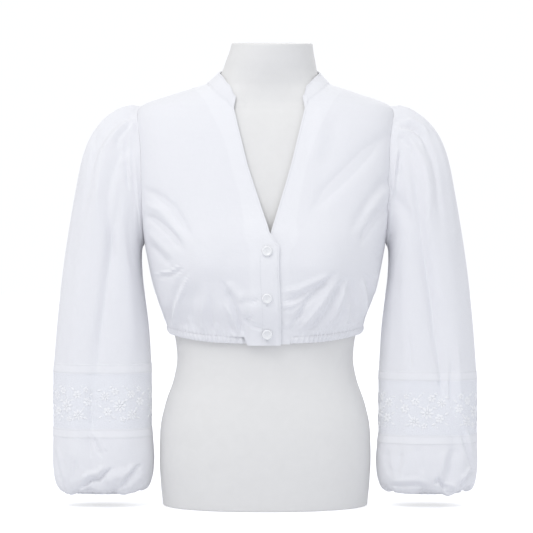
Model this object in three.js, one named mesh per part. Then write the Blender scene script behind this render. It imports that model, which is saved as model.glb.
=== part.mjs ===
// Dirndl blouse with stand collar and long gathered sleeves, worn by a limbless dress form.
// Millimetres, +Z up. The front faces -Y, the floor is z = 0 and x = 0 is the form's middle.
// "right" and "left" are the wearer's: the right front, at x < 0, laps over the left one.
import * as THREE from "three";

// Driving dimensions: cloth and seams
const WALL = 1.2; // one piece of cloth
const FACING_WALL = 1.0; // the facing inside a front edge
const GAP = 0.3; // between two pieces at a seam
const FACING_GAP = 0.8; // between a front and its facing
const EASE = 2.0; // between the form and the innermost cloth
const STAND_OFF = EASE + FACING_WALL + FACING_GAP + WALL; // outer face of a panel
const LAP_RISE = WALL + FACING_WALL + 2 * FACING_GAP; // the right front over the left one
const LAP = { from: -72, full: -13, low: 402, high: 440 }; // x and z where it rises and ends
const COLLAR_WALL = 1.6 * WALL; // collar and cuffs, with their interlining
const COLLAR_GAP = 2.5 * GAP; // under the collar's foot, which meets the panels at a slant
const ARMHOLE_GAP = 2.6 * GAP; // along the armhole, where sleeve and panels turn

// Driving dimensions: the blouse
const RIGHT_FRONT_EDGE = 22; // x of the placket's visible edge
const LEFT_FRONT_EDGE = -9; // x of the edge hidden under it
const BUTTON_LINE = 3; // x of the centre front
const BUTTON_HEIGHTS = [374, 311, 258];
const BUTTON_RADIUS = 7.6;
const BUTTON_THICK = 3.6;
const BUTTON_PROFILE = [ // shares of the radius and of the thickness, from the back to the front
  [0, 0], [0.86, 0], [1, 0.35], [0.93, 0.75], [0.74, 1], [0.5, 0.72], [0, 0.6],
];
const PLACKET_HEM = 240; // z of the placket's lower end
const SHOULDER_TIP = 581; // z of the form's shoulder at the armhole
const NECK_POINT = 612.5; // z of the form's shoulder at the neck
const UNDERARM = 385; // z of the lowest point of the armhole
const ARMHOLE_FRONT = 44; // reach of the armhole towards the front
const ARMHOLE_BACK = 46; // and towards the back
const HEM_CASING = { height: 10.5, rise: 1.5, ripple: 1.3, innerRipple: 0.5, gathers: 112 };
const HEM_CLEARANCE = 0.4; // degrees between the placket and the casing's ends
const HEM_TOP = { front: 253, frontSide: 12, back: 256, backSide: 9 }; // and its rise at a side
const CUFF = { halfWidth: 49.1, halfDepth: 31.6, top: 30, bottom: 18.5, ripple: 1.2, gathers: 32 };

// Mesh density
const ROWS_BELOW = 6; // panel rows under the armhole
const ROWS_BESIDE = 15; // panel rows along the armhole, and sleeve columns on each half
const ROWS = ROWS_BELOW + ROWS_BESIDE;
const CORNER_ROWS = 8; // of them up to the collar's front corner
const BACK_COLUMNS = 24;
const FORM_COLUMNS = 28;
const FACING_COLUMNS = 4;
const BUTTON_COLUMNS = 16;
const SHOULDER_COLUMNS = 6; // of them along each shoulder
const CROWDING = 1.3; // over 1, the rows beside the armhole are closer together at the shoulder
const PLACKET_END = 0.16; // share of a front's width where the placket's hem ends
const HEM_START = 0.178; // and where the gathered hem begins
const FRONT_SHARES = [
  0, 0.055, 0.11, PLACKET_END, HEM_START, 0.24, 0.31, 0.39, 0.47, 0.56, 0.65, 0.74, 0.83, 0.92, 1,
];

// The form's level sections. half is the half width, front and back the depths, power the
// roundness of the oval (2 is an ellipse) and lean the sideways shift of its middle.
const FORM = [
  { z: 0, half: 150, front: 98, back: 114, power: 2.2, lean: 0 },
  { z: 30, half: 153, front: 101, back: 118, power: 2.25, lean: 0 },
  { z: 70, half: 155, front: 103, back: 120, power: 2.3, lean: 0 },
  { z: 110, half: 154, front: 101, back: 117, power: 2.3, lean: 0 },
  { z: 150, half: 146, front: 94, back: 107, power: 2.3, lean: 0 },
  { z: 185, half: 134, front: 87, back: 95, power: 2.3, lean: 0 },
  { z: 215, half: 129, front: 85, back: 88, power: 2.3, lean: 0 },
  { z: 240, half: 131, front: 88, back: 87, power: 2.3, lean: 0 },
  { z: 272, half: 141, front: 95, back: 89, power: 2.35, lean: 0 },
  { z: 302, half: 152, front: 101, back: 92, power: 2.4, lean: 0 },
  { z: 331, half: 161, front: 106, back: 95, power: 2.5, lean: 0 },
  { z: 358, half: 166.5, front: 109, back: 98, power: 2.6, lean: 0 },
  { z: 385, half: 171.5, front: 109, back: 100, power: 2.7, lean: 0 },
  { z: 420, half: 176, front: 104, back: 101.5, power: 2.9, lean: 0 },
  { z: 460, half: 179.5, front: 96, back: 102, power: 3.1, lean: 0 },
  { z: 500, half: 182, front: 86, back: 101, power: 3.2, lean: 0 },
  { z: 540, half: 184, front: 74, back: 96, power: 3.2, lean: 0 },
  { z: 562, half: 184.5, front: 65.5, back: 90, power: 3.1, lean: 0 },
  { z: 572, half: 183.5, front: 61, back: 86, power: 3.0, lean: 0.5 },
  { z: 578, half: 181, front: 58, back: 83, power: 2.9, lean: 0.8 },
  { z: 582, half: 176.5, front: 56.5, back: 81, power: 2.8, lean: 1.2 },
  { z: 588, half: 163, front: 54.5, back: 78, power: 2.5, lean: 1.8 },
  { z: 597, half: 135, front: 53, back: 73, power: 2.35, lean: 2.8 },
  { z: 605.5, half: 109, front: 52.5, back: 67, power: 2.2, lean: 3.6 },
  { z: 612.5, half: 88, front: 53, back: 62, power: 2.15, lean: 4.4 },
  { z: 620, half: 78, front: 54.5, back: 57, power: 2.1, lean: 5.2 },
  { z: 628, half: 73, front: 56.5, back: 52.5, power: 2.05, lean: 6 },
  { z: 637, half: 69, front: 59, back: 49, power: 2, lean: 6.8 },
  { z: 650, half: 65.5, front: 62, back: 45, power: 2, lean: 8 },
  { z: 663, half: 61.8, front: 64, back: 42, power: 2, lean: 9.2 },
  { z: 677, half: 59, front: 65.5, back: 40, power: 2, lean: 10.4 },
];
const NECK_CAP = { tilt: 0.085, bevel: 1.5, inset: 0.04 }; // the cut falls towards the front
const BUST = { x: 88, z: 352, width: 46, above: 62, below: 44, depth: 18 };

// How far a front panel stands off beyond the form's own shape, as soft mounds.
const FRONT_DRAPE = [
  { x: 0, z: 350, width: 52, height: 62, depth: 12 }, // the cloth spans from cup to cup
  { x: -90, z: 297, width: 60, height: 26, depth: 7 }, // and hangs off them to the hem
  { x: 90, z: 297, width: 60, height: 26, depth: 7 },
  { x: 0, z: 292, width: 60, height: 28, depth: 5 },
];
const BACK_DRAPE = [
  { x: 0, z: 300, width: 110, height: 42, depth: 6 },
  { x: -168, z: 577, width: 34, height: 18, depth: 2 }, // round the form's shoulder ends
  { x: 168, z: 577, width: 34, height: 18, depth: 2 },
];

// Creases: a line from (x0, z0) to (x1, z1) seen from the front or back, its width and height.
// A height under 0 is a trough.
const SEAM_FADE = 3; // how soon folds reach their full height beside the side seam
const DEEPEST = -2.6; // under the plain cloth, so that a trough stays clear of the form
const FRONT_FOLDS = [
  { x0: -176, z0: 458, x1: -106, z1: 396, width: 9, height: -2.2 },
  { x0: -174, z0: 444, x1: -112, z1: 386, width: 7, height: 1.8 },
  { x0: -172, z0: 430, x1: -114, z1: 374, width: 8, height: -2.4 },
  { x0: -122, z0: 330, x1: -138, z1: 272, width: 8, height: -2.6 },
  { x0: -104, z0: 340, x1: -127, z1: 268, width: 7, height: 2.6 },
  { x0: -95, z0: 325, x1: -104, z1: 266, width: 8, height: -2.6 },
  { x0: -75, z0: 330, x1: -62, z1: 268, width: 9, height: 2.4 },
  { x0: -58, z0: 326, x1: -36, z1: 272, width: 8, height: -2.2 },
  { x0: 150, z0: 548, x1: 84, z1: 440, width: 16, height: -1.8 },
  { x0: 180, z0: 432, x1: 140, z1: 374, width: 10, height: -2.4 },
  { x0: 30, z0: 306, x1: 82, z1: 326, width: 7, height: -2.2 },
  { x0: 34, z0: 284, x1: 96, z1: 330, width: 7, height: 2.2 },
  { x0: 44, z0: 270, x1: 108, z1: 332, width: 8, height: -2.4 },
  { x0: 72, z0: 264, x1: 118, z1: 336, width: 8, height: 2.4 },
  { x0: 98, z0: 264, x1: 128, z1: 334, width: 8, height: -2.6 },
  { x0: 124, z0: 268, x1: 138, z1: 330, width: 8, height: 2.2 },
];
const BACK_FOLDS = [
  { x0: -130, z0: 400, x1: -70, z1: 372, width: 12, height: -2.2 },
  { x0: 130, z0: 404, x1: 66, z1: 380, width: 12, height: -2.2 },
  { x0: -96, z0: 330, x1: -104, z1: 270, width: 9, height: -2.4 },
  { x0: -52, z0: 318, x1: -46, z1: 270, width: 9, height: 2.4 },
  { x0: -8, z0: 324, x1: -2, z1: 270, width: 9, height: -2.2 },
  { x0: 40, z0: 316, x1: 46, z1: 270, width: 9, height: 2.4 },
  { x0: 88, z0: 330, x1: 100, z1: 270, width: 9, height: -2.4 },
];

// The front edges from the hem to the collar: v is the share of the panel's rows.
const V_ROW = ROWS_BELOW / ROWS; // the level of the V's point
const CORNER_ROW = (ROWS_BELOW + CORNER_ROWS) / ROWS; // the level of the collar's front corner
const RIGHT_EDGE = [
  { v: 0, z: PLACKET_HEM, x: RIGHT_FRONT_EDGE },
  { v: V_ROW - 0.04, z: 381, x: RIGHT_FRONT_EDGE },
  { v: V_ROW, z: 400, x: 8 },
  { v: (V_ROW + CORNER_ROW) / 2, z: 494, x: -24.5 },
  { v: CORNER_ROW, z: 577, x: -45 },
];
const LEFT_EDGE = [
  { v: 0, z: PLACKET_HEM + 1, x: LEFT_FRONT_EDGE },
  { v: V_ROW - 0.04, z: 372, x: LEFT_FRONT_EDGE },
  { v: V_ROW, z: 396, x: 6 },
  { v: (V_ROW + CORNER_ROW) / 2, z: 494, x: 36.5 },
  { v: CORNER_ROW, z: 577, x: 57 },
];
// The collar from its front corner (t 0) over the shoulder (t 0.5) to the centre back (t 1):
// the turn round the form in degrees and the height, of the seam and of the upper edge.
const NECKLINE = [
  { t: 0, turn: 82, z: 577, topTurn: 74.5, topZ: 596 },
  { t: 0.12, turn: 76, z: 586, topTurn: 62, topZ: 607 },
  { t: 0.25, turn: 60, z: 598, topTurn: 44, topZ: 617 },
  { t: 0.36, turn: 42, z: 606, topTurn: 29, topZ: 625.5 },
  { t: 0.43, turn: 25, z: 610, topTurn: 16, topZ: 630 },
  { t: 0.5, turn: 0, z: NECK_POINT, topTurn: 0, topZ: 633.5 },
  { t: 0.64, turn: -35, z: 616, topTurn: -35, topZ: 639 },
  { t: 0.82, turn: -66, z: 620, topTurn: -66, topZ: 644.5 },
  { t: 1, turn: -90, z: 622, topTurn: -90, topZ: 647 },
];
const FACING_WIDTH = [
  { v: 0, wide: 44 },
  { v: V_ROW - 0.04, wide: 44 },
  { v: V_ROW + 0.03, wide: 30 },
  { v: 0.45, wide: 23 },
  { v: 0.56, wide: 26 },
  { v: CORNER_ROW, wide: 42 },
];

// The sleeve's sections below the armhole: its inner and outer points seen from the front,
// its half depth, and the swing of its middle towards the back.
const SLEEVE = [
  { s: 0.06, innerX: 179.6, innerZ: 378, outerX: 204, outerZ: 583, depth: 48, swing: 1 },
  { s: 0.13, innerX: 181, innerZ: 369, outerX: 223, outerZ: 575, depth: 51, swing: 1 },
  { s: 0.21, innerX: 181, innerZ: 358, outerX: 242, outerZ: 559, depth: 53, swing: 0 },
  { s: 0.29, innerX: 180.5, innerZ: 346, outerX: 257, outerZ: 537, depth: 54, swing: -1 },
  { s: 0.37, innerX: 179.5, innerZ: 332, outerX: 267.5, outerZ: 509, depth: 54, swing: -2 },
  { s: 0.48, innerX: 177, innerZ: 312, outerX: 276.5, outerZ: 466, depth: 53, swing: -3 },
  { s: 0.6, innerX: 174, innerZ: 290, outerX: 285, outerZ: 418, depth: 52, swing: -4 },
  { s: 0.73, innerX: 170.5, innerZ: 262, outerX: 295, outerZ: 352, depth: 51, swing: -5 },
  { s: 0.87, innerX: 168, innerZ: 230, outerX: 304, outerZ: 272, depth: 50.5, swing: -6 },
  { s: 1, innerX: 166, innerZ: 195, outerX: 310.5, outerZ: 195, depth: 50.5, swing: -7 },
];
const SLEEVE_COLUMN = { middle: 238.3, halfWidth: 72.3, halfDepth: 50.5, y: -7 };
const DROP_FROM = 310; // z above which the left sleeve is as high as the right one
const BAND = { right: { top: 195, bottom: 115.5 }, left: { top: 184.5, bottom: 106 } };
// The lower sleeve: share is the height between the lip (0) and the band (1).
const LOWER_SLEEVE = [
  { share: 1, half: 72.3, depth: 50.5, middle: 238.3 },
  { share: 0.78, half: 73.6, depth: 52.5, middle: 237.4 },
  { share: 0.54, half: 74.6, depth: 54, middle: 237 },
  { share: 0.32, half: 73.4, depth: 53.5, middle: 237 },
  { share: 0.14, half: 70, depth: 50, middle: 237.5 },
  { share: 0.03, half: 64, depth: 44.5, middle: 238 },
  { share: 0.0, half: 57.5, depth: 39, middle: 238 },
  { share: 0.05, half: 53, depth: 35.5, middle: 238 },
  { share: 0.125, half: 51.8, depth: 34.5, middle: 238 },
];
const LIP = 19; // z of the lower sleeve's lowest ring
const UNDER_RINGS = 2; // the last rings, turned in under the lip
const SMOOTH_LIP = 0.1; // share of the height under which the rings carry no crease
const LOBE_FADE = 6; // how soon the lip's waves end upwards
const LOBE_TURN = 24; // degrees by which the left lip's waves differ from the right one's
const LIP_LOBES = [
  { turn: 35, width: 16, height: -3.5 },
  { turn: 80, width: 11, height: 7 },
  { turn: 118, width: 18, height: -2.5 },
  { turn: 150, width: 12, height: 3 },
  { turn: 215, width: 18, height: 5 },
  { turn: 262, width: 20, height: -3 },
  { turn: 310, width: 14, height: 5 },
];
// Creases along a sleeve: s runs from the armhole (0) to the lace band (1) and the lip (2),
// turn is the place round it in degrees: 0 outside, 90 front, 180 next to the body, 270 back.
const SLEEVE_FOLDS = {
  right: [
    { s0: 0.05, turn0: 12, s1: 0.3, turn1: 20, width: 9, height: 3.6 },
    { s0: 0.04, turn0: 30, s1: 0.38, turn1: 50, width: 9, height: -5 },
    { s0: 0.05, turn0: 47, s1: 0.44, turn1: 72, width: 9, height: 4.2 },
    { s0: 0.08, turn0: 66, s1: 0.5, turn1: 96, width: 10, height: -4.6 },
    { s0: 0.5, turn0: 94, s1: 1.35, turn1: 82, width: 9, height: -5.6 },
    { s0: 0.45, turn0: 62, s1: 1.6, turn1: 58, width: 15, height: 4 },
    { s0: 0.45, turn0: 122, s1: 1.5, turn1: 116, width: 15, height: 3.4 },
    { s0: 1.55, turn0: 78, s1: 2, turn1: 86, width: 8, height: -4.6 },
  ],
  left: [
    { s0: 0.05, turn0: 14, s1: 0.34, turn1: 30, width: 9, height: 4 },
    { s0: 0.04, turn0: 36, s1: 0.42, turn1: 62, width: 9, height: -5 },
    { s0: 0.05, turn0: 54, s1: 0.44, turn1: 82, width: 9, height: 4.2 },
    { s0: 0.1, turn0: 108, s1: 1, turn1: 75, width: 10, height: -6.2 },
    { s0: 0.3, turn0: 64, s1: 1.6, turn1: 50, width: 15, height: 4 },
    { s0: 0.5, turn0: 134, s1: 1.6, turn1: 128, width: 13, height: -3.4 },
    { s0: 1.5, turn0: 62, s1: 2, turn1: 72, width: 8, height: -4.4 },
  ],
  both: [
    { s0: 0.05, turn0: -14, s1: 0.3, turn1: -24, width: 9, height: -4 },
    { s0: 0.05, turn0: -34, s1: 0.4, turn1: -56, width: 10, height: 4.4 },
    { s0: 0.1, turn0: 262, s1: 1.2, turn1: 268, width: 12, height: -5.2 },
    { s0: 0.4, turn0: 232, s1: 1.7, turn1: 236, width: 14, height: 3.6 },
    { s0: 0.5, turn0: 304, s1: 1.8, turn1: 300, width: 14, height: 3.8 },
    { s0: 0.9, turn0: 200, s1: 2, turn1: 196, width: 12, height: -2.8 },
  ],
};
const FOLD_END = 0.12; // over this share of s a sleeve's crease fades past its ends
const BAND_END = 1.4; // s at the lace band's lower edge
const PAST_FOLDS = 3; // a place on s that no crease reaches

const materials = {
  cloth: new THREE.MeshStandardMaterial({ color: 0xeff1f6, roughness: 0.86, metalness: 0 }),
  net: new THREE.MeshStandardMaterial({ color: 0xe0e4ee, roughness: 0.8, metalness: 0 }),
  button: new THREE.MeshStandardMaterial({ color: 0xf3f3f1, roughness: 0.25, metalness: 0 }),
  form: new THREE.MeshStandardMaterial({ color: 0xdededb, roughness: 0.9, metalness: 0 }),
};
for (const material of Object.values(materials)) material.side = THREE.FrontSide;

const RIGHT = { sign: -1, name: "right" };
const LEFT = { sign: 1, name: "left" };
const radians = THREE.MathUtils.degToRad;

// The value of a table's column at a place along its key, smooth and with no overshoot.
function lookUp(table, key, column, at) {
  const last = table.length - 1;
  if (at <= table[0][key]) return table[0][column];
  if (at >= table[last][key]) return table[last][column];
  let i = 0;
  while (at > table[i + 1][key]) i += 1;
  const slope = (k) =>
    (table[k + 1][column] - table[k][column]) / (table[k + 1][key] - table[k][key]);
  const bend = (k) => {
    if (k === 0 || k === last) return slope(Math.min(k, last - 1));
    const before = slope(k - 1);
    const after = slope(k);
    return before * after <= 0 ? 0 : (2 * before * after) / (before + after);
  };
  const step = table[i + 1][key] - table[i][key];
  const t = (at - table[i][key]) / step;
  const [t2, t3] = [t * t, t * t * t];
  return (
    (2 * t3 - 3 * t2 + 1) * table[i][column] +
    (t3 - 2 * t2 + t) * step * bend(i) +
    (3 * t2 - 2 * t3) * table[i + 1][column] +
    (t3 - t2) * step * bend(i + 1)
  );
}

// The same with straight stretches, for edges that keep their corners.
function lookUpStraight(table, key, column, at) {
  let i = 0;
  while (i < table.length - 2 && at > table[i + 1][key]) i += 1;
  const t = THREE.MathUtils.clamp((at - table[i][key]) / (table[i + 1][key] - table[i][key]), 0, 1);
  return THREE.MathUtils.lerp(table[i][column], table[i + 1][column], t);
}

const section = (z) => {
  const column = (name) => lookUp(FORM, "z", name, z);
  return {
    half: column("half"),
    front: column("front"),
    back: column("back"),
    power: column("power"),
    lean: column("lean"),
  };
};

// A point of the form. turn is 0 at +X, 90 degrees at the front, 180 at -X, 270 at the back.
function formPoint(turn, z) {
  const { half, front, back, power, lean } = section(z);
  const [c, s] = [Math.cos(turn), Math.sin(turn)];
  const across = Math.abs(c) ** (2 / power);
  const along = Math.abs(s) ** (2 / power);
  const x = lean + Math.sign(c) * half * across;
  if (s < 0) return new THREE.Vector3(x, back * along, z);
  const reach = z > BUST.z ? BUST.above : BUST.below;
  const cup =
    BUST.depth *
    Math.exp(-(((Math.abs(x) - BUST.x) / BUST.width) ** 2) - ((z - BUST.z) / reach) ** 2);
  return new THREE.Vector3(x, -(front + cup) * along, z);
}

const TURN_STEP = radians(0.8);
const RISE_STEP = 3;
function formNormal(turn, z) {
  const round = formPoint(turn + TURN_STEP, z).sub(formPoint(turn - TURN_STEP, z));
  const rise = formPoint(turn, z + RISE_STEP).sub(formPoint(turn, z - RISE_STEP));
  return rise.cross(round).normalize();
}

// The turn at which the form's front has a given x.
function turnAt(x, z) {
  const { half, power, lean } = section(z);
  const share = THREE.MathUtils.clamp(Math.abs(x - lean) / half, 0, 1) ** (power / 2);
  return Math.acos(Math.sign(x - lean) * share);
}

function creaseHeight(folds, x, z) {
  let height = 0;
  for (const fold of folds) {
    const [runX, runZ] = [fold.x1 - fold.x0, fold.z1 - fold.z0];
    const along = ((x - fold.x0) * runX + (z - fold.z0) * runZ) / (runX ** 2 + runZ ** 2);
    const t = THREE.MathUtils.clamp(along, 0, 1);
    const away = Math.hypot(x - fold.x0 - t * runX, z - fold.z0 - t * runZ);
    height += fold.height * Math.exp(-((away / fold.width) ** 2));
  }
  return height;
}

function mounds(table, x, z) {
  return table.reduce((sum, mound) => {
    const [dx, dz] = [(x - mound.x) / mound.width, (z - mound.z) / mound.height];
    return sum + mound.depth * Math.exp(-dx * dx - dz * dz);
  }, 0);
}

// A point of the bodice's outer face, raised by extra.
function clothPoint(turn, z, extra = 0) {
  const base = formPoint(turn, z);
  const facesFront = Math.sin(turn) >= 0;
  const drape = mounds(facesFront ? FRONT_DRAPE : BACK_DRAPE, base.x, z);
  const crease = creaseHeight(facesFront ? FRONT_FOLDS : BACK_FOLDS, base.x, z);
  const fade = Math.min(1, Math.abs(Math.sin(turn)) * SEAM_FADE);
  const height = STAND_OFF + (drape + Math.max(crease, DEEPEST - drape)) * fade + extra;
  return base.addScaledVector(formNormal(turn, z), height);
}

// z of the hem casing's upper edge: a little higher at the sides.
function casingTop(turn) {
  const side = Math.abs(Math.cos(turn)) ** 3;
  const { front, frontSide, back, backSide } = HEM_TOP;
  return Math.sin(turn) > 0 ? front + frontSide * side : back + backSide * side;
}

const bySide = (side, turn) => (side.sign > 0 ? turn : Math.PI - turn);

// The armhole's place on the form: swing is 0 at the shoulder and 180 degrees at the underarm.
function armhole(side, swing, towardsFront) {
  const middle = (SHOULDER_TIP + UNDERARM) / 2;
  const z = middle + ((SHOULDER_TIP - UNDERARM) / 2) * Math.cos(swing);
  const { front, back, power } = section(z);
  const reach = towardsFront ? ARMHOLE_FRONT / front : ARMHOLE_BACK / back;
  const turn = Math.asin((reach * Math.sin(swing)) ** (power / 2));
  return { turn: bySide(side, towardsFront ? turn : -turn), z };
}

// The swing of each panel row beside the armhole, closer together at the shoulder.
const swingAt = (share) => Math.PI * (1 - share) ** CROWDING;

// A panel's side edge: the side seam up to the underarm, then the armhole.
function sideEdge(side, v, towardsFront) {
  const seam = bySide(side, 0);
  if (v < V_ROW) {
    const hem = casingTop(seam);
    return { turn: seam, z: THREE.MathUtils.lerp(hem, UNDERARM, v / V_ROW) };
  }
  return armhole(side, swingAt((v - V_ROW) / (1 - V_ROW)), towardsFront);
}

// The collar's corner sits on its front edge, so the neckline turns a little near it.
function cornerTurn(side, t) {
  const corner = bySide(side, frontEdge(side, CORNER_ROW).turn) - radians(NECKLINE[0].turn);
  return corner * (1 - THREE.MathUtils.smoothstep(t, 0, NECKLINE[2].t));
}

function necklineAt(side, t) {
  const turn = radians(lookUp(NECKLINE, "t", "turn", t)) + cornerTurn(side, t);
  return { turn: bySide(side, turn), z: lookUp(NECKLINE, "t", "z", t) };
}

function frontEdge(side, v) {
  if (v > CORNER_ROW) return necklineAt(side, (0.5 * (v - CORNER_ROW)) / (1 - CORNER_ROW));
  const table = side === RIGHT ? RIGHT_EDGE : LEFT_EDGE;
  const z = lookUpStraight(table, "v", "z", v);
  return { turn: turnAt(lookUpStraight(table, "v", "x", v), z), z };
}

// A surface between four edges, each a function of one share that gives { turn, z }.
function patch(bottom, top, near, far) {
  const blend = (key, u, v) =>
    (1 - v) * bottom(u)[key] +
    v * top(u)[key] +
    (1 - u) * near(v)[key] +
    u * far(v)[key] -
    (1 - v) * ((1 - u) * bottom(0)[key] + u * bottom(1)[key]) -
    v * ((1 - u) * top(0)[key] + u * top(1)[key]);
  return (u, v) => ({ turn: blend("turn", u, v), z: blend("z", u, v) });
}

// How far the right front is lifted where it lies over the left one.
function lapRise(side, x, z) {
  if (side === LEFT) return 0;
  const under = 1 - THREE.MathUtils.smoothstep(z, LAP.low, LAP.high);
  return LAP_RISE * THREE.MathUtils.smoothstep(x, LAP.from, LAP.full) * under;
}

// A front panel: u runs from its edge at the centre to the side, v from the hem upwards.
function frontPanel(side) {
  const seam = bySide(side, 0);
  const near = (v) => frontEdge(side, v);
  const far = (v) => sideEdge(side, v, true);
  const bottom = (u) => {
    const turn = THREE.MathUtils.lerp(near(0).turn, seam, u);
    const rise = THREE.MathUtils.smoothstep(u, PLACKET_END, HEM_START);
    return { turn, z: THREE.MathUtils.lerp(near(0).z, casingTop(turn), rise) };
  };
  const top = (u) => ({ turn: seam, z: THREE.MathUtils.lerp(NECK_POINT, SHOULDER_TIP, u) });
  const place = patch(bottom, top, near, far);
  return (u, v, extra = 0) => {
    const { turn, z } = place(u, v);
    return clothPoint(turn, z, extra + lapRise(side, formPoint(turn, z).x, z));
  };
}

// The back panel: u runs from the right side to the left one.
function backPanel() {
  const [right, left] = [Math.PI, 2 * Math.PI];
  const shoulder = SHOULDER_COLUMNS / BACK_COLUMNS; // share of the upper edge
  const near = (v) => sideEdge(RIGHT, v, false);
  const far = (v) => {
    const { turn, z } = sideEdge(LEFT, v, false);
    return { turn: turn + 2 * Math.PI, z };
  };
  const bottom = (u) => {
    const turn = THREE.MathUtils.lerp(right, left, u);
    return { turn, z: casingTop(turn) };
  };
  const top = (u) => {
    const fromSide = Math.min(u, 1 - u);
    if (fromSide < shoulder) {
      const z = THREE.MathUtils.lerp(SHOULDER_TIP, NECK_POINT, fromSide / shoulder);
      return { turn: u < 0.5 ? right : left, z };
    }
    const { turn, z } = necklineAt(LEFT, 0.5 + (0.5 * (fromSide - shoulder)) / (0.5 - shoulder));
    return { turn: u < 0.5 ? Math.PI - turn : 2 * Math.PI + turn, z };
  };
  const place = patch(bottom, top, near, far);
  return (u, v, extra = 0) => {
    const { turn, z } = place(u, v);
    return clothPoint(turn, z, extra);
  };
}

const evenly = (count) => Array.from({ length: count + 1 }, (_, k) => k / count);
const points = (across, up, at) => up.map((v) => across.map((u) => at(u, v)));

// Face normals of a grid of points, averaged over the neighbours. closed joins its columns.
function gridNormals(grid, closed) {
  const columns = grid[0].length;
  const wrap = (i) => (closed ? (i + columns) % columns : THREE.MathUtils.clamp(i, 0, columns - 1));
  return grid.map((row, j) =>
    row.map((_, i) => {
      const across = row[wrap(i + 1)].clone().sub(row[wrap(i - 1)]);
      const above = grid[Math.min(j + 1, grid.length - 1)][i];
      const below = grid[Math.max(j - 1, 0)][i];
      return above.clone().sub(below).cross(across).normalize();
    }),
  );
}

// A closed body between two grids of the same size.
function shell(outer, inner, closed) {
  const rows = outer.length;
  const columns = outer[0].length;
  const positions = [...outer.flat(), ...inner.flat()].flatMap((p) => [p.x, p.y, p.z]);
  const at = (layer, j, i) => layer * rows * columns + j * columns + (i % columns);
  const index = [];
  const quad = (a, b, c, d) => index.push(a, b, c, a, c, d);
  const spans = closed ? columns : columns - 1;
  for (let j = 0; j < rows - 1; j += 1)
    for (let i = 0; i < spans; i += 1) {
      quad(at(0, j, i), at(0, j, i + 1), at(0, j + 1, i + 1), at(0, j + 1, i));
      quad(at(1, j, i), at(1, j + 1, i), at(1, j + 1, i + 1), at(1, j, i + 1));
    }
  for (let i = 0; i < spans; i += 1) {
    quad(at(0, 0, i), at(1, 0, i), at(1, 0, i + 1), at(0, 0, i + 1));
    quad(at(0, rows - 1, i), at(0, rows - 1, i + 1), at(1, rows - 1, i + 1), at(1, rows - 1, i));
  }
  if (!closed)
    for (let j = 0; j < rows - 1; j += 1) {
      const end = columns - 1;
      quad(at(0, j, 0), at(0, j + 1, 0), at(1, j + 1, 0), at(1, j, 0));
      quad(at(0, j, end), at(1, j, end), at(1, j + 1, end), at(0, j + 1, end));
    }
  return facingOut(positions, index);
}

// A geometry whose faces point out, whichever way the grid ran.
function facingOut(positions, index) {
  const corner = (k) => new THREE.Vector3().fromArray(positions, 3 * index[k]);
  let volume = 0;
  for (let k = 0; k < index.length; k += 3)
    volume += corner(k).dot(corner(k + 1).cross(corner(k + 2)));
  if (volume < 0) index.reverse();
  const geometry = new THREE.BufferGeometry();
  geometry.setAttribute("position", new THREE.Float32BufferAttribute(positions, 3));
  geometry.setIndex(index);
  geometry.computeVertexNormals();
  return geometry;
}

// A wall of cloth: the grid is its outer face, outwards is 1 or -1 as the grid's normals point.
function wall(grid, thickness, outwards, closed = false) {
  const normals = gridNormals(grid, closed);
  const inner = grid.map((row, j) =>
    row.map((p, i) => p.clone().addScaledVector(normals[j][i], -outwards * thickness)),
  );
  return shell(grid, inner, closed);
}

// A bodice panel's body, whose thickness follows the form.
function panelBody(panel, across, keep) {
  const layer = (extra) => points(across, evenly(ROWS), (u, v) => keep(panel(u, v, extra)));
  return shell(layer(0), layer(-WALL), false);
}

// Keeps a panel on its own side of the side and shoulder seams.
const inFront = (p) => p.setY(Math.min(p.y, -GAP / 2));
const behind = (p) => p.setY(Math.max(p.y, GAP / 2));

// The dress form, closed by its base and its neck cap.
function formBody() {
  const heights = FORM.map((row) => row.z);
  const grid = heights.map((z) =>
    Array.from({ length: FORM_COLUMNS }, (_, i) => {
      const p = formPoint((2 * Math.PI * i) / FORM_COLUMNS, z);
      if (z === heights.at(-1)) p.z += NECK_CAP.tilt * p.y;
      return p;
    }),
  );
  const neck = section(heights.at(-1));
  const middle = new THREE.Vector3(neck.lean, (neck.back - neck.front) / 2, 0);
  const rim = (p) => p.clone().lerp(middle, NECK_CAP.inset).setZ(p.z + NECK_CAP.bevel);
  grid.push(grid.at(-1).map(rim));
  const positions = grid.flat().flatMap((p) => [p.x, p.y, p.z]);
  const index = [];
  const at = (j, i) => j * FORM_COLUMNS + (i % FORM_COLUMNS);
  for (let j = 0; j < grid.length - 1; j += 1)
    for (let i = 0; i < FORM_COLUMNS; i += 1)
      index.push(at(j, i), at(j, i + 1), at(j + 1, i + 1), at(j, i), at(j + 1, i + 1), at(j + 1, i));
  const last = grid.length - 1;
  for (let i = 1; i < FORM_COLUMNS - 1; i += 1) {
    index.push(at(0, 0), at(0, i + 1), at(0, i));
    index.push(at(last, 0), at(last, i), at(last, i + 1));
  }
  return facingOut(positions, index);
}

// The facing inside a front edge, as far up as the collar's corner.
function facing(panel) {
  const depth = -(WALL + FACING_GAP);
  const shareFor = (v) => {
    const wide = lookUp(FACING_WIDTH, "v", "wide", v);
    const start = panel(0, v);
    let [low, high] = [0, 1];
    for (let k = 0; k < 16; k += 1) {
      const middle = (low + high) / 2;
      if (panel(middle, v).distanceTo(start) < wide) low = middle;
      else high = middle;
    }
    return low;
  };
  const rows = evenly(ROWS).slice(0, ROWS_BELOW + CORNER_ROWS + 1);
  const layer = (extra) =>
    points(evenly(FACING_COLUMNS), rows, (u, v) => panel(u * shareFor(v), v, depth + extra));
  return shell(layer(0), layer(-FACING_WALL), false);
}

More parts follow.
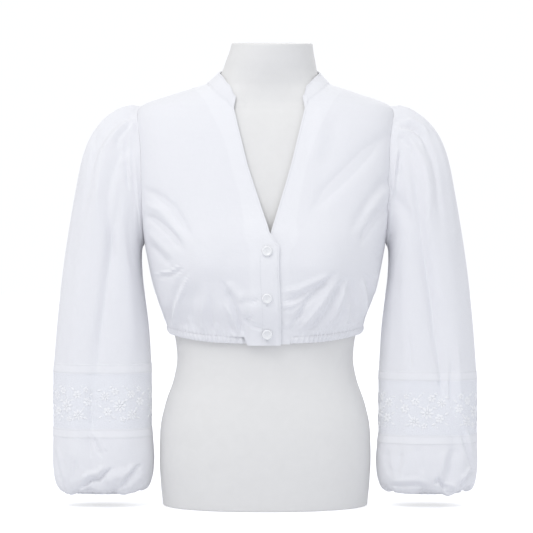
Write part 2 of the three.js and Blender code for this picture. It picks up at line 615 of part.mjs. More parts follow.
// The collar stands on the neckline from the right front corner round the back to the left one.
function collar() {
  const frontShares = evenly(ROWS_BESIDE - CORNER_ROWS).map((t) => t / 2);
  const backShares = evenly(BACK_COLUMNS / 2 - SHOULDER_COLUMNS).map((t) => (1 + t) / 2);
  const half = [...frontShares, ...backShares.slice(1)];
  const stations = [
    ...half.map((t) => ({ side: RIGHT, t })),
    ...half.slice(0, -1).reverse().map((t) => ({ side: LEFT, t })),
  ];
  const lower = ({ side, t }) => {
    const { turn, z } = necklineAt(side, t);
    return clothPoint(turn, z);
  };
  const upper = ({ side, t }) => {
    const turn = bySide(side, radians(lookUp(NECKLINE, "t", "topTurn", t)) + cornerTurn(side, t));
    const z = lookUp(NECKLINE, "t", "topZ", t);
    return formPoint(turn, z).addScaledVector(formNormal(turn, z), EASE + COLLAR_WALL);
  };
  const grid = points(stations, evenly(3), (station, v) => {
    const foot = lower(station);
    const rise = upper(station).sub(foot);
    const start = COLLAR_GAP / rise.length();
    return foot.addScaledVector(rise, start + (1 - start) * v);
  });
  return wall(grid, COLLAR_WALL, 1);
}

// An elastic casing: a band whose face rises and falls with each gather.
function hemCasing() {
  const COLUMNS = 2 * HEM_CASING.gathers;
  const edge = (side) => {
    const placket = THREE.MathUtils.lerp(frontEdge(side, 0).turn, bySide(side, 0), HEM_START);
    return placket - side.sign * radians(HEM_CLEARANCE);
  };
  const start = edge(RIGHT);
  const end = 2 * Math.PI + edge(LEFT);
  const at = (layer) => (u, v) => {
    const turn = THREE.MathUtils.lerp(start, end, u);
    const z = casingTop(turn) - GAP - HEM_CASING.height * (1 - v);
    const crest = Math.round(u * COLUMNS) % 2 ? 1 : -1;
    const outer = STAND_OFF + HEM_CASING.rise + crest * HEM_CASING.ripple;
    const height = layer ? STAND_OFF - WALL + crest * HEM_CASING.innerRipple : outer;
    const around = turn % (2 * Math.PI);
    return formPoint(around, z).addScaledVector(formNormal(around, z), height);
  };
  const shares = evenly(COLUMNS);
  return shell(points(shares, [0, 1], at(0)), points(shares, [0, 1], at(1)), false);
}

function sleeveFold(side, s, turn, girth) {
  let height = 0;
  for (const fold of [...SLEEVE_FOLDS[side.name], ...SLEEVE_FOLDS.both]) {
    const t = THREE.MathUtils.clamp((s - fold.s0) / (fold.s1 - fold.s0), 0, 1);
    const centre = THREE.MathUtils.lerp(fold.turn0, fold.turn1, t);
    const off = THREE.MathUtils.euclideanModulo(turn - centre + 180, 360) - 180;
    const away = (radians(off) * girth) / (2 * Math.PI);
    const past = Math.max(fold.s0 - s, s - fold.s1, 0) / FOLD_END;
    height += fold.height * Math.exp(-((away / fold.width) ** 2) - past * past);
  }
  return height;
}

const power = (value, exponent) => Math.sign(value) * Math.abs(value) ** exponent;
const SLEEVE_POWER = 2 / 2.2;

// A point of a sleeve section, from its middle, its half axis in the front view and its depth.
function sleevePoint(side, middle, axis, depth, s, turn) {
  const girth = Math.PI * (axis.length() + depth);
  const across = power(Math.cos(radians(turn)), SLEEVE_POWER);
  const along = power(Math.sin(radians(turn)), SLEEVE_POWER);
  const swell = 1 + sleeveFold(side, s, turn, girth) / Math.hypot(axis.length() * across, depth * along);
  const p = middle.clone().addScaledVector(axis, across * swell);
  p.y -= depth * along * swell;
  p.x *= side.sign;
  return p;
}

// Sleeve turns in degrees, one for each column: the same places as the panels' rows.
const SLEEVE_TURNS = [
  ...Array.from({ length: ROWS_BESIDE }, (_, k) => swingAt(1 - k / ROWS_BESIDE)),
  ...Array.from({ length: ROWS_BESIDE }, (_, k) => 2 * Math.PI - swingAt(k / ROWS_BESIDE)),
].map(THREE.MathUtils.radToDeg);

// How much lower than the right sleeve a sleeve hangs at a height.
function bandDrop(side, z) {
  const fade = 1 - THREE.MathUtils.smoothstep(z, BAND.right.top, DROP_FROM);
  return (BAND.right.top - BAND[side.name].top) * fade;
}

function sleeve(side) {
  const seam = SLEEVE_TURNS.map((turn) => {
    const towardsFront = turn <= 180;
    const place = armhole(side, radians(towardsFront ? turn : 360 - turn), towardsFront);
    const p = clothPoint(place.turn, place.z);
    p.x += side.sign * ARMHOLE_GAP;
    return p;
  });
  const rings = SLEEVE.map((row) => {
    const drop = (z) => z - bandDrop(side, z);
    const inner = new THREE.Vector3(row.innerX, row.swing, drop(row.innerZ));
    const outer = new THREE.Vector3(row.outerX, row.swing, drop(row.outerZ));
    const middle = inner.clone().add(outer).multiplyScalar(0.5);
    const axis = outer.sub(middle);
    return SLEEVE_TURNS.map((turn) => sleevePoint(side, middle, axis, row.depth, row.s, turn));
  });
  return wall([seam, ...rings], WALL, -side.sign, true);
}

function column(side, z, half, depth, middle, s, turn) {
  const centre = new THREE.Vector3(middle, SLEEVE_COLUMN.y, z);
  return sleevePoint(side, centre, new THREE.Vector3(half, 0, 0), depth, s, turn);
}

function laceBand(side) {
  const { top, bottom } = BAND[side.name];
  const { middle, halfWidth, halfDepth } = SLEEVE_COLUMN;
  const grid = [0, 0.5, 1].map((share) => {
    const z = THREE.MathUtils.lerp(top - GAP, bottom + GAP, share);
    const s = THREE.MathUtils.lerp(1, BAND_END, share);
    return SLEEVE_TURNS.map((turn) => column(side, z, halfWidth, halfDepth, middle, s, turn));
  });
  return wall(grid, WALL, -side.sign, true);
}

function lipLobe(turn) {
  return LIP_LOBES.reduce((sum, lobe) => {
    const off = THREE.MathUtils.euclideanModulo(turn - lobe.turn + 180, 360) - 180;
    return sum + lobe.height * Math.exp(-((off / lobe.width) ** 2));
  }, 0);
}

function lowerSleeve(side) {
  const top = BAND[side.name].bottom;
  const grid = LOWER_SLEEVE.map((row, j) =>
    SLEEVE_TURNS.map((turn) => {
      const turned = side === RIGHT ? turn : turn + LOBE_TURN;
      const isUnder = j >= LOWER_SLEEVE.length - UNDER_RINGS;
      const lift = isUnder ? 0 : lipLobe(turned) * (1 - row.share) ** LOBE_FADE;
      const z = THREE.MathUtils.lerp(LIP, top, row.share) + lift;
      const isSmooth = isUnder || row.share < SMOOTH_LIP;
      const s = isSmooth ? PAST_FOLDS : THREE.MathUtils.lerp(2, BAND_END, row.share);
      return column(side, z, row.half, row.depth, row.middle, s, turn);
    }),
  );
  return wall(grid, WALL, -side.sign, true);
}

function cuff(side) {
  const COLUMNS = 2 * CUFF.gathers;
  const ring = (z, inset) =>
    Array.from({ length: COLUMNS }, (_, i) => {
      const turn = (2 * Math.PI * i) / COLUMNS;
      const wave = inset + (i % 2 ? CUFF.ripple : -CUFF.ripple);
      return new THREE.Vector3(
        side.sign * (SLEEVE_COLUMN.middle + (CUFF.halfWidth + wave) * Math.cos(turn)),
        SLEEVE_COLUMN.y - (CUFF.halfDepth + wave) * Math.sin(turn),
        z,
      );
    });
  const rings = (inset) => [CUFF.top, CUFF.bottom].map((z) => ring(z, inset));
  return shell(rings(-CUFF.ripple), rings(-CUFF.ripple - COLLAR_WALL), true);
}

// A domed button with a dished middle, seated on the panel's facets.
function button(cloth, height) {
  const profile = BUTTON_PROFILE.map(
    ([r, y]) => new THREE.Vector2(r * BUTTON_RADIUS, y * BUTTON_THICK),
  );
  const mesh = new THREE.Mesh(new THREE.LatheGeometry(profile, BUTTON_COLUMNS), materials.button);
  const turn = turnAt(BUTTON_LINE, height);
  const normal = formNormal(turn, height);
  mesh.quaternion.setFromUnitVectors(new THREE.Vector3(0, 1, 0), normal);
  const above = clothPoint(turn, height, 2 * BUTTON_RADIUS);
  const drop = (r, k) => {
    const round = (2 * Math.PI * k) / BUTTON_COLUMNS;
    const offset = new THREE.Vector3(r * Math.cos(round), 0, r * Math.sin(round));
    const from = offset.applyQuaternion(mesh.quaternion).add(above);
    return new THREE.Raycaster(from, normal.clone().negate()).intersectObject(cloth)[0].distance;
  };
  const rim = Array.from({ length: BUTTON_COLUMNS }, (_, k) => drop(BUTTON_RADIUS, k));
  mesh.position.copy(above).addScaledVector(normal, GAP - Math.min(drop(0, 0), ...rim));
  return mesh;
}

const group = new THREE.Group();
function add(name, geometry, material) {
  const mesh = new THREE.Mesh(geometry, material);
  mesh.name = name;
  group.add(mesh);
}

add("dress_form", formBody(), materials.form);
for (const side of [RIGHT, LEFT]) {
  const panel = frontPanel(side);
  add(`front_${side.name}`, panelBody(panel, FRONT_SHARES, inFront), materials.cloth);
  add(`facing_${side.name}`, facing(panel), materials.cloth);
  add(`sleeve_${side.name}`, sleeve(side), materials.cloth);
  add(`lace_band_${side.name}`, laceBand(side), materials.net);
  add(`lower_sleeve_${side.name}`, lowerSleeve(side), materials.cloth);
  add(`cuff_${side.name}`, cuff(side), materials.cloth);
}
add("back", panelBody(backPanel(), evenly(BACK_COLUMNS), behind), materials.cloth);
add("stand_collar", collar(), materials.cloth);
add("hem_casing", hemCasing(), materials.cloth);
BUTTON_HEIGHTS.forEach((height, k) => {
  const mesh = button(group.getObjectByName("front_right"), height);
  mesh.name = `button_${k + 1}`;
  group.add(mesh);
});

export default group;
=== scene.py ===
"""A dirndl blouse on a limbless dress form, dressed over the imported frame.

Lengths in the tables are millimetres in the frame of the part: x to the viewer's right, the
front faces -y, z up from the floor. "right" and "left" are the wearer's.
"""

import logging
import math
from dataclasses import dataclass, field
from enum import Enum
from typing import Callable, Sequence

import bmesh
import bpy
import numpy as np
from mathutils import Matrix, Vector


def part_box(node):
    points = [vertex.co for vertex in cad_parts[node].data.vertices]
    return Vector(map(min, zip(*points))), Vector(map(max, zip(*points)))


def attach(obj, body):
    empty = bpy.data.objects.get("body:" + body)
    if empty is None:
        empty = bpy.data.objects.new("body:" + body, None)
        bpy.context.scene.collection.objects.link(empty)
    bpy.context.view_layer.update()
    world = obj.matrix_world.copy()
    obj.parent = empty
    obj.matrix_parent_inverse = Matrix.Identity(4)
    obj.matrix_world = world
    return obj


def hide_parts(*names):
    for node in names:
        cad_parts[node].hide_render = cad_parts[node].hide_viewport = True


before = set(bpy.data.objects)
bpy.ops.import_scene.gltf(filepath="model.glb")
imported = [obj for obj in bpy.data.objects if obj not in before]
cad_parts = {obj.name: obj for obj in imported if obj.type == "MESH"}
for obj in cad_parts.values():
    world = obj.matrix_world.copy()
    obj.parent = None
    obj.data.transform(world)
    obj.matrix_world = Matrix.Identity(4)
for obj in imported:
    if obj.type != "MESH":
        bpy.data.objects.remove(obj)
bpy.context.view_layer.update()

log = logging.getLogger("blouse")
MM = 0.001
Array = np.ndarray

# Cloth and seams, as in the solids
WALL = 1.2
FACING_WALL = 1.0
GAP = 0.3
FACING_GAP = 0.8
EASE = 2.0
STAND_OFF = EASE + FACING_WALL + FACING_GAP + WALL
LAP_RISE = WALL + FACING_WALL + 2 * FACING_GAP
LAP_FROM, LAP_FULL, LAP_LOW, LAP_HIGH = -72.0, -13.0, 402.0, 440.0
RIGHT_FRONT_EDGE = 22.0
LEFT_FRONT_EDGE = -9.0
BUTTON_LINE = 3.0
BUTTON_HEIGHTS = (374.0, 311.0, 258.0)
BUTTON_RADIUS = 7.6
PLACKET_HEM = 240.0
SHOULDER_TIP = 581.0
NECK_POINT = 612.5
UNDERARM = 385.0
ARMHOLE_FRONT = 44.0
ARMHOLE_BACK = 46.0
CASING_HEIGHT = 10.5
CASING_RISE = 1.5
V_ROW = 6 / 21
CORNER_ROW = 14 / 21
PLACKET_END = 0.16
HEM_START = 0.178
BAND_END = 1.4
LIP = 19.0
STRIP_RISE = 0.5

# The front panels' lap: how far its edge is rolled back, and from which x
LAP_ROLL, LAP_ROLL_FROM = 0.9, 15.0
# Creases: reach of the blend along a line, its fading ends and their width, and the shares used
CREASE_BLEND, CREASE_FADE, CREASE_END = 1.5, 0.3, 0.7
COARSE_SHARE, FINE_SHARE, FOLD_DEPTH = 0.35, 1.8, 2.8
FAR_AWAY, TINY = 1e9, 1e-12
SIDE_FADE = 3.0
HEM_CALM = (1.0, 13.0)
HEM_STEP_REACH = 0.035
# z of the casing's upper edge at the front and back, and its rise towards the sides
CASING_FRONT, CASING_FRONT_RISE, CASING_BACK, CASING_BACK_RISE = 253.0, 12.0, 256.0, 9.0
# Waves that make the hem's gathers uneven: size, count round the part, start
GATHERS = 113
GATHER_WARP = ((0.9, 5, 0.4), (0.6, 11, 2.0), (0.5, 23, 0.0))
GATHER_SIZES = ((0.25, 7, 1.0), (0.2, 17, 3.0))
GATHER_HEIGHT, GATHER_REACH, GATHER_RAMP = 0.9, 5.5, 0.05
CASING_SINK, CASING_SWELL, CASING_WAVE = 0.6, 1.1, (0.7, 0.5)
CASING_UNDER, TUCK_SHARES, TUCK_DEPTH = math.radians(2.4), (0.002, 0.0055), 2.2
# Seams: how the armhole swings, how the neckline meets the edge, and the halving of widths
SWING_POWER, CORNER_BLEND, SHOULDER_SHARE = 1.3, 0.25, 0.25
WIDEST_SHARE, HALVINGS = 0.6, 14
COLLAR_TOP_OFF = 0.5 * EASE + 1.6 * WALL
COLLAR_START = 0.1
# Cuffs, and the waves of their gathers and of the lips' ones
CUFF_TOP, CUFF_HEIGHT, CUFF_HALF, CUFF_DEPTH = 30.0, 11.5, 49.1, 31.6
CUFF_SINK, CUFF_WAVE, CUFF_SWELL, CUFF_GATHERS = 1.2, 1.1, 0.8, 32
CUFF_WARP = ((0.8, 3, 0.0),)
LIP_WARP = CUFF_WARP + ((0.5, 7, 1.0),)
# Upper and lower z of the lace bands
BAND_HEIGHTS = {"right": (195.0, 115.5), "left": (184.5, 106.0)}
# Distance at which points are welded, in metres
WELD = 1e-6

# z, half width, front depth, back depth, power of the oval, lean of its middle
FORM = np.array([
    (0, 150, 98, 114, 2.2, 0), (30, 153, 101, 118, 2.25, 0), (70, 155, 103, 120, 2.3, 0),
    (110, 154, 101, 117, 2.3, 0), (150, 146, 94, 107, 2.3, 0), (185, 134, 87, 95, 2.3, 0),
    (215, 129, 85, 88, 2.3, 0), (240, 131, 88, 87, 2.3, 0), (272, 141, 95, 89, 2.35, 0),
    (302, 152, 101, 92, 2.4, 0), (331, 161, 106, 95, 2.5, 0), (358, 166.5, 109, 98, 2.6, 0),
    (385, 171.5, 109, 100, 2.7, 0), (420, 176, 104, 101.5, 2.9, 0), (460, 179.5, 96, 102, 3.1, 0),
    (500, 182, 86, 101, 3.2, 0), (540, 184, 74, 96, 3.2, 0), (562, 184.5, 65.5, 90, 3.1, 0),
    (572, 183.5, 61, 86, 3.0, 0.5), (578, 181, 58, 83, 2.9, 0.8), (582, 176.5, 56.5, 81, 2.8, 1.2),
    (588, 163, 54.5, 78, 2.5, 1.8), (597, 135, 53, 73, 2.35, 2.8), (605.5, 109, 52.5, 67, 2.2, 3.6),
    (612.5, 88, 53, 62, 2.15, 4.4), (620, 78, 54.5, 57, 2.1, 5.2), (628, 73, 56.5, 52.5, 2.05, 6),
    (637, 69, 59, 49, 2, 6.8), (650, 65.5, 62, 45, 2, 8), (663, 61.8, 64, 42, 2, 9.2),
    (677, 59, 65.5, 40, 2, 10.4),
], float)
CUP_X, CUP_Z, CUP_WIDTH, CUP_ABOVE, CUP_BELOW, CUP_DEPTH = 88.0, 352.0, 46.0, 62.0, 44.0, 18.0
NECK_TILT = 0.085

# x, z, width, height, depth
FRONT_DRAPE = ((0, 350, 52, 62, 12), (-90, 297, 60, 26, 7), (90, 297, 60, 26, 7), (0, 292, 60, 28, 5))
BACK_DRAPE = ((0, 300, 110, 42, 6), (-168, 577, 34, 18, 2), (168, 577, 34, 18, 2))

# v, z, x of the front edges
RIGHT_EDGE = np.array([
    (0, PLACKET_HEM, RIGHT_FRONT_EDGE), (V_ROW - 0.04, 381, RIGHT_FRONT_EDGE), (V_ROW, 398, 7),
    ((V_ROW + CORNER_ROW) / 2, 494, -24.5), (CORNER_ROW, 577, -45),
], float)
LEFT_EDGE = np.array([
    (0, PLACKET_HEM + 1, LEFT_FRONT_EDGE), (V_ROW - 0.04, 372, LEFT_FRONT_EDGE), (V_ROW, 394, 7),
    ((V_ROW + CORNER_ROW) / 2, 494, 36.5), (CORNER_ROW, 577, 57),
], float)
# t, turn and z of the neck seam, turn and z of the collar's upper edge
NECKLINE = np.array([
    (0, 82, 577, 74.5, 596), (0.12, 76, 586, 62, 607), (0.25, 60, 598, 44, 617),
    (0.36, 42, 606, 29, 625.5), (0.43, 25, 610, 16, 630), (0.5, 0, NECK_POINT, 0, 633.5),
    (0.64, -35, 616, -35, 639), (0.82, -66, 620, -66, 644.5), (1, -90, 622, -90, 647),
], float)
# z and width over which a front looks doubled, and its soft edge to both sides
DOUBLED_WIDTH = np.array([
    (240, 44), (385, 44), (420, 30), (500, 23), (540, 26), (577, 35), (590, 42), (614, 62),
], float)
DOUBLED_EDGE = (1.5, 0.5)
# v and width of the facings
FACING_WIDTH = np.array([
    (0, 44), (V_ROW - 0.04, 44), (V_ROW + 0.03, 30), (0.45, 23), (0.56, 26), (CORNER_ROW, 42),
], float)
# s, inner x, inner z, outer x, outer z, half depth, swing of the middle to the back
SLEEVE = np.array([
    (0.06, 179.6, 378, 204, 583, 48, 1), (0.13, 181, 369, 223, 575, 51, 1),
    (0.21, 181, 358, 242, 559, 53, 0), (0.29, 180.5, 346, 257, 537, 54, -1),
    (0.37, 179.5, 332, 267.5, 509, 54, -2), (0.48, 177, 312, 276.5, 466, 53, -3),
    (0.6, 174, 290, 285, 418, 52, -4), (0.73, 170.5, 262, 295, 352, 51, -5),
    (0.87, 168, 230, 304, 272, 50.5, -6), (1, 166, 195, 310.5, 195, 50.5, -7),
], float)
COLUMN_MIDDLE, COLUMN_HALF, COLUMN_DEPTH, COLUMN_Y = 238.3, 72.3, 50.5, -7.0
# share of the height between lip and band, half width, half depth, middle
LOWER_SLEEVE = np.array([
    (1, 72.3, 50.5, 238.3), (0.78, 73.6, 52.5, 237.4), (0.54, 74.6, 54, 237), (0.32, 73.4, 53.5, 237),
    (0.14, 70, 50, 237.5), (0.03, 64, 44.5, 238), (0, 57.5, 39, 238), (0.05, 53, 35.5, 238),
    (0.125, 51.8, 34.5, 238),
], float)
# turn, width, height
LIP_LOBES = {
    "right": (
        (8, 12, 4), (43, 11, -2), (59, 9, 5), (78, 9, 8), (92, 6, 2), (105, 8, 7), (120, 8, -1),
        (145, 10, 4), (168, 12, 9), (215, 18, 4), (262, 20, -3), (310, 14, 5), (345, 12, 3),
    ),
    "left": (
        (24, 12, 10), (43, 9, 6), (64, 8, -3), (78, 7, 3), (95, 10, 8), (128, 14, 1), (153, 12, 5),
        (191, 16, 2), (238, 20, 4), (286, 14, -3), (335, 14, 8),
    ),
}

# Creases of the bodice as lines seen from the front: (x, z) points, width, height.
FRONT_CREASES = (
    (((-176, 458), (-106, 396)), 9, -2.2), (((-174, 444), (-112, 386)), 7, 1.8),
    (((-172, 430), (-114, 374)), 8, -2.4), (((-122, 330), (-138, 272)), 8, -2.6),
    (((-104, 340), (-127, 268)), 7, 2.6), (((-95, 325), (-104, 266)), 8, -2.6),
    (((-75, 330), (-62, 268)), 9, 2.4), (((-58, 326), (-36, 272)), 8, -2.2),
    (((150, 548), (84, 440)), 16, -1.8), (((180, 432), (140, 374)), 10, -2.4),
    (((30, 306), (82, 326)), 7, -2.2), (((34, 284), (96, 330)), 7, 2.2),
    (((44, 270), (108, 332)), 8, -2.4), (((72, 264), (118, 336)), 8, 2.4),
    (((98, 264), (128, 334)), 8, -2.6), (((124, 268), (138, 330)), 8, 2.2),
)
BACK_CREASES = (
    (((-130, 400), (-70, 372)), 12, -2.2), (((130, 404), (66, 380)), 12, -2.2),
    (((-96, 330), (-104, 270)), 9, -2.4), (((-52, 318), (-46, 270)), 9, 2.4),
    (((-8, 324), (-2, 270)), 9, -2.2), (((40, 316), (46, 270)), 9, 2.4),
    (((88, 330), (100, 270)), 9, -2.4),
)
# Finer creases, with their own uneven sizes.
FRONT_DETAIL = (
    (((-179, 467), (-154, 454), (-131, 436), (-110, 404), (-97, 382)), 6.5, -1.9),
    (((-175, 446), (-148, 432), (-128, 410), (-109, 383)), 5, 1.5),
    (((-173, 429), (-154, 417), (-132, 398), (-110, 368)), 6, -2),
    (((-169, 405), (-147, 385), (-123, 361)), 5, 1.1),
    (((-166, 388), (-146, 367), (-128, 349)), 5, -1.3),
    (((-96, 555), (-87, 504), (-81, 452)), 16, -0.5),
    (((-159, 339), (-146, 343), (-131, 346), (-113, 357)), 1.3, 1.1),
    (((-154, 335), (-131, 340), (-110, 351)), 3, -1.3),
    (((-112, 346), (-122, 320), (-131, 288), (-134, 261), (-136, 231)), 5.5, -2),
    (((-100, 349), (-110, 330), (-119, 305), (-126, 276), (-129, 255), (-132, 225)), 3.2, 3),
    (((-94, 337), (-102, 305), (-109, 255), (-113, 225)), 11, -2.9),
    (((-85, 332), (-85, 305), (-88, 255), (-89, 225)), 4, 1.2),
    (((-76, 329), (-74, 302), (-71, 255), (-70, 225)), 5, -1.6),
    (((-69, 340), (-57, 326), (-46, 307), (-37, 285), (-32, 255), (-29, 225)), 3.8, -2.6),
    (((-57, 336), (-43, 320), (-28, 304)), 5, 1.6),
    (((-60, 311), (-50, 293), (-40, 273), (-32, 249), (-26, 219)), 3.4, 2),
    (((-34, 309), (-19, 305), (-6, 310)), 3.2, -0.8),
    (((-42, 320), (-22, 315), (-4, 318)), 5, 0.4),
    (((-32, 288), (-25, 276), (-13, 268), (4, 268)), 3.6, -1.5),
    (((-28, 277), (-15, 286)), 2.6, -1.4),
    (((-38, 290), (-16, 295), (2, 300)), 6, 0.4),
    (((-106, 288), (-106, 273), (-103, 255), (-100, 225)), 3, 1.7),
    (((-69, 282), (-68, 267), (-65, 252), (-61, 222)), 3, 1.7),
    (((-53, 279), (-47, 267), (-43, 255), (-37, 225)), 3, -1.8),
    (((-146, 293), (-140, 273), (-131, 255), (-122, 225)), 3.4, 1.1),
    (((187, 552), (157, 526), (122, 489), (88, 457), (57, 414)), 11, -2.1),
    (((190, 493), (166, 470), (141, 435), (116, 393)), 8, -1.6),
    (((184, 470), (160, 449), (140, 420)), 6, 1.2),
    (((185, 449), (163, 429), (143, 402), (131, 376)), 6, -2.3),
    (((182, 414), (166, 385), (157, 352)), 6, -1.9),
    (((81, 585), (78, 540), (69, 496)), 9, 0.8),
    (((107, 577), (96, 526), (78, 473)), 12, -0.7),
    (((19, 318), (47, 323), (74, 335), (100, 345)), 4.5, 1.5),
    (((18, 307), (37, 307), (54, 316), (71, 326), (91, 335)), 3.6, -1.7),
    (((19, 292), (37, 295), (56, 307), (69, 318)), 3, -1.1),
    (((21, 300), (40, 300), (57, 309)), 4.5, 0.7),
    (((28, 258), (43, 279), (56, 301), (71, 321), (90, 339), (104, 348)), 4, -3),
    (((43, 257), (60, 280), (76, 304), (90, 324), (104, 340)), 4.6, 2.7),
    (((47, 254), (68, 268), (81, 288), (93, 310), (106, 330), (119, 342)), 4, -3),
    (((78, 258), (93, 285), (103, 310), (115, 332)), 4, 1.9),
    (((93, 255), (103, 279), (110, 305)), 3.6, -1.6),
    (((119, 340), (121, 317), (125, 296), (125, 267)), 6.5, -2.6),
    (((107, 255), (113, 285), (116, 305)), 3, 1.4),
    (((131, 346), (144, 335), (148, 314), (146, 291), (140, 261), (136, 231)), 4, -2.4),
    (((135, 340), (138, 317), (138, 276)), 3, 2),
    (((156, 349), (157, 329), (153, 305)), 3, 1.3),
    (((16, 260), (28, 261), (41, 263)), 2.2, -1.8),
    (((22, 273), (37, 273), (54, 282)), 4, 1),
    (((110, 279), (119, 270), (125, 258), (134, 228)), 2.4, -1.5),
    (((128, 273), (134, 261), (143, 231)), 2.4, 1.3),
)
BACK_DETAIL = (
    (((-176, 470), (-140, 440), (-110, 400)), 7, -1.6), (((-172, 448), (-136, 414)), 6, 1.3),
    (((-166, 424), (-132, 392)), 6, -1.5), (((174, 466), (140, 432), (112, 398)), 7, -1.6),
    (((170, 446), (138, 410)), 6, 1.3), (((164, 420), (130, 388)), 6, -1.6),
    (((-122, 340), (-128, 300), (-132, 272)), 4, -1.9), (((-108, 334), (-114, 272)), 3.5, 1.8),
    (((-84, 336), (-88, 300), (-92, 270)), 4, -1.7), (((-66, 322), (-70, 270)), 3.5, 1.5),
    (((-34, 334), (-30, 300), (-32, 270)), 4, -1.8), (((-16, 320), (-14, 270)), 3.5, 1.4),
    (((22, 336), (20, 300), (24, 270)), 4, -1.8), (((44, 318), (50, 270)), 3.5, 1.5),
    (((68, 338), (74, 302), (72, 270)), 4, -1.9), (((94, 326), (102, 270)), 3.5, 1.7),
    (((116, 340), (126, 300), (128, 272)), 4, -2.0), (((0, 590), (-6, 520), (0, 440)), 16, -0.9),
    (((-90, 560), (-60, 500)), 18, -0.8), (((92, 556), (64, 498)), 18, -0.8),
)
# Creases of the sleeves: (s, turn) at both ends, width, height.
SLEEVE_FOLDS = {
    "right": (
        ((0.05, 12), (0.3, 20), 9, 3.6), ((0.04, 30), (0.38, 50), 9, -5), ((0.05, 47), (0.44, 72), 9, 4.2),
        ((0.08, 66), (0.5, 96), 10, -4.6), ((0.5, 94), (1.35, 82), 9, -3.6), ((0.45, 62), (1.6, 58), 15, 4),
        ((0.45, 122), (1.5, 116), 15, 3.4), ((1.55, 78), (2, 86), 8, -4.6),
    ),
    "left": (
        ((0.05, 14), (0.34, 30), 9, 4), ((0.04, 36), (0.42, 62), 9, -5), ((0.05, 54), (0.44, 82), 9, 4.2),
        ((0.1, 108), (1, 75), 10, -6.2), ((0.3, 64), (1.6, 50), 15, 4), ((0.5, 134), (1.6, 128), 13, -3.4),
        ((1.5, 62), (2, 72), 8, -4.4),
    ),
    "both": (
        ((0.05, -14), (0.3, -24), 9, -4), ((0.05, -34), (0.4, -56), 10, 4.4),
        ((0.1, 262), (1.2, 268), 12, -5.2), ((0.4, 232), (1.7, 236), 14, 3.6),
        ((0.5, 304), (1.8, 300), 14, 3.8), ((0.9, 200), (2, 196), 12, -2.8),
    ),
}
FOLD_END = 0.12
# Flowers in one repeat of the embroidery: share of the pitch, mm up, petals, reach, width, how pointed
FLOWERS = (
    (0.0, -3, 8, 10.5, 4.4, 1.0), (0.22, -14, 8, 8.5, 3.6, 1.0), (-0.21, -10, 6, 7.0, 4.6, 0.3),
    (0.2, 11, 6, 6.5, 4.2, 0.3), (-0.08, 15, 6, 6.0, 4.0, 0.3), (0.38, 2, 6, 7.0, 4.6, 0.3),
    (-0.25, 9, 8, 7.5, 3.2, 1.0), (0.35, 17, 5, 4.6, 3.4, 0.2), (0.05, -19, 5, 4.6, 3.4, 0.2),
)
# Its leaves: share of the pitch, mm up, turn in radians
LEAVES = (
    (-0.15, 20, 0.5), (-0.34, 16, 0.2), (-0.33, -4, -0.6), (-0.13, 3, 0.1), (0.12, 18, -0.7),
    (0.11, 4, 0.4), (0.13, -19, 0.9), (-0.11, -17, -0.5), (0.34, -18, -0.3), (-0.33, -17, 0.6),
    (0.3, -7, 1.1), (0.45, 11, 0.8),
)
# Its dots: share of the pitch, mm up
DOTS = ((0.06, 21), (-0.03, 7), (0.28, 21), (-0.17, -21), (0.44, -8), (-0.4, 3))
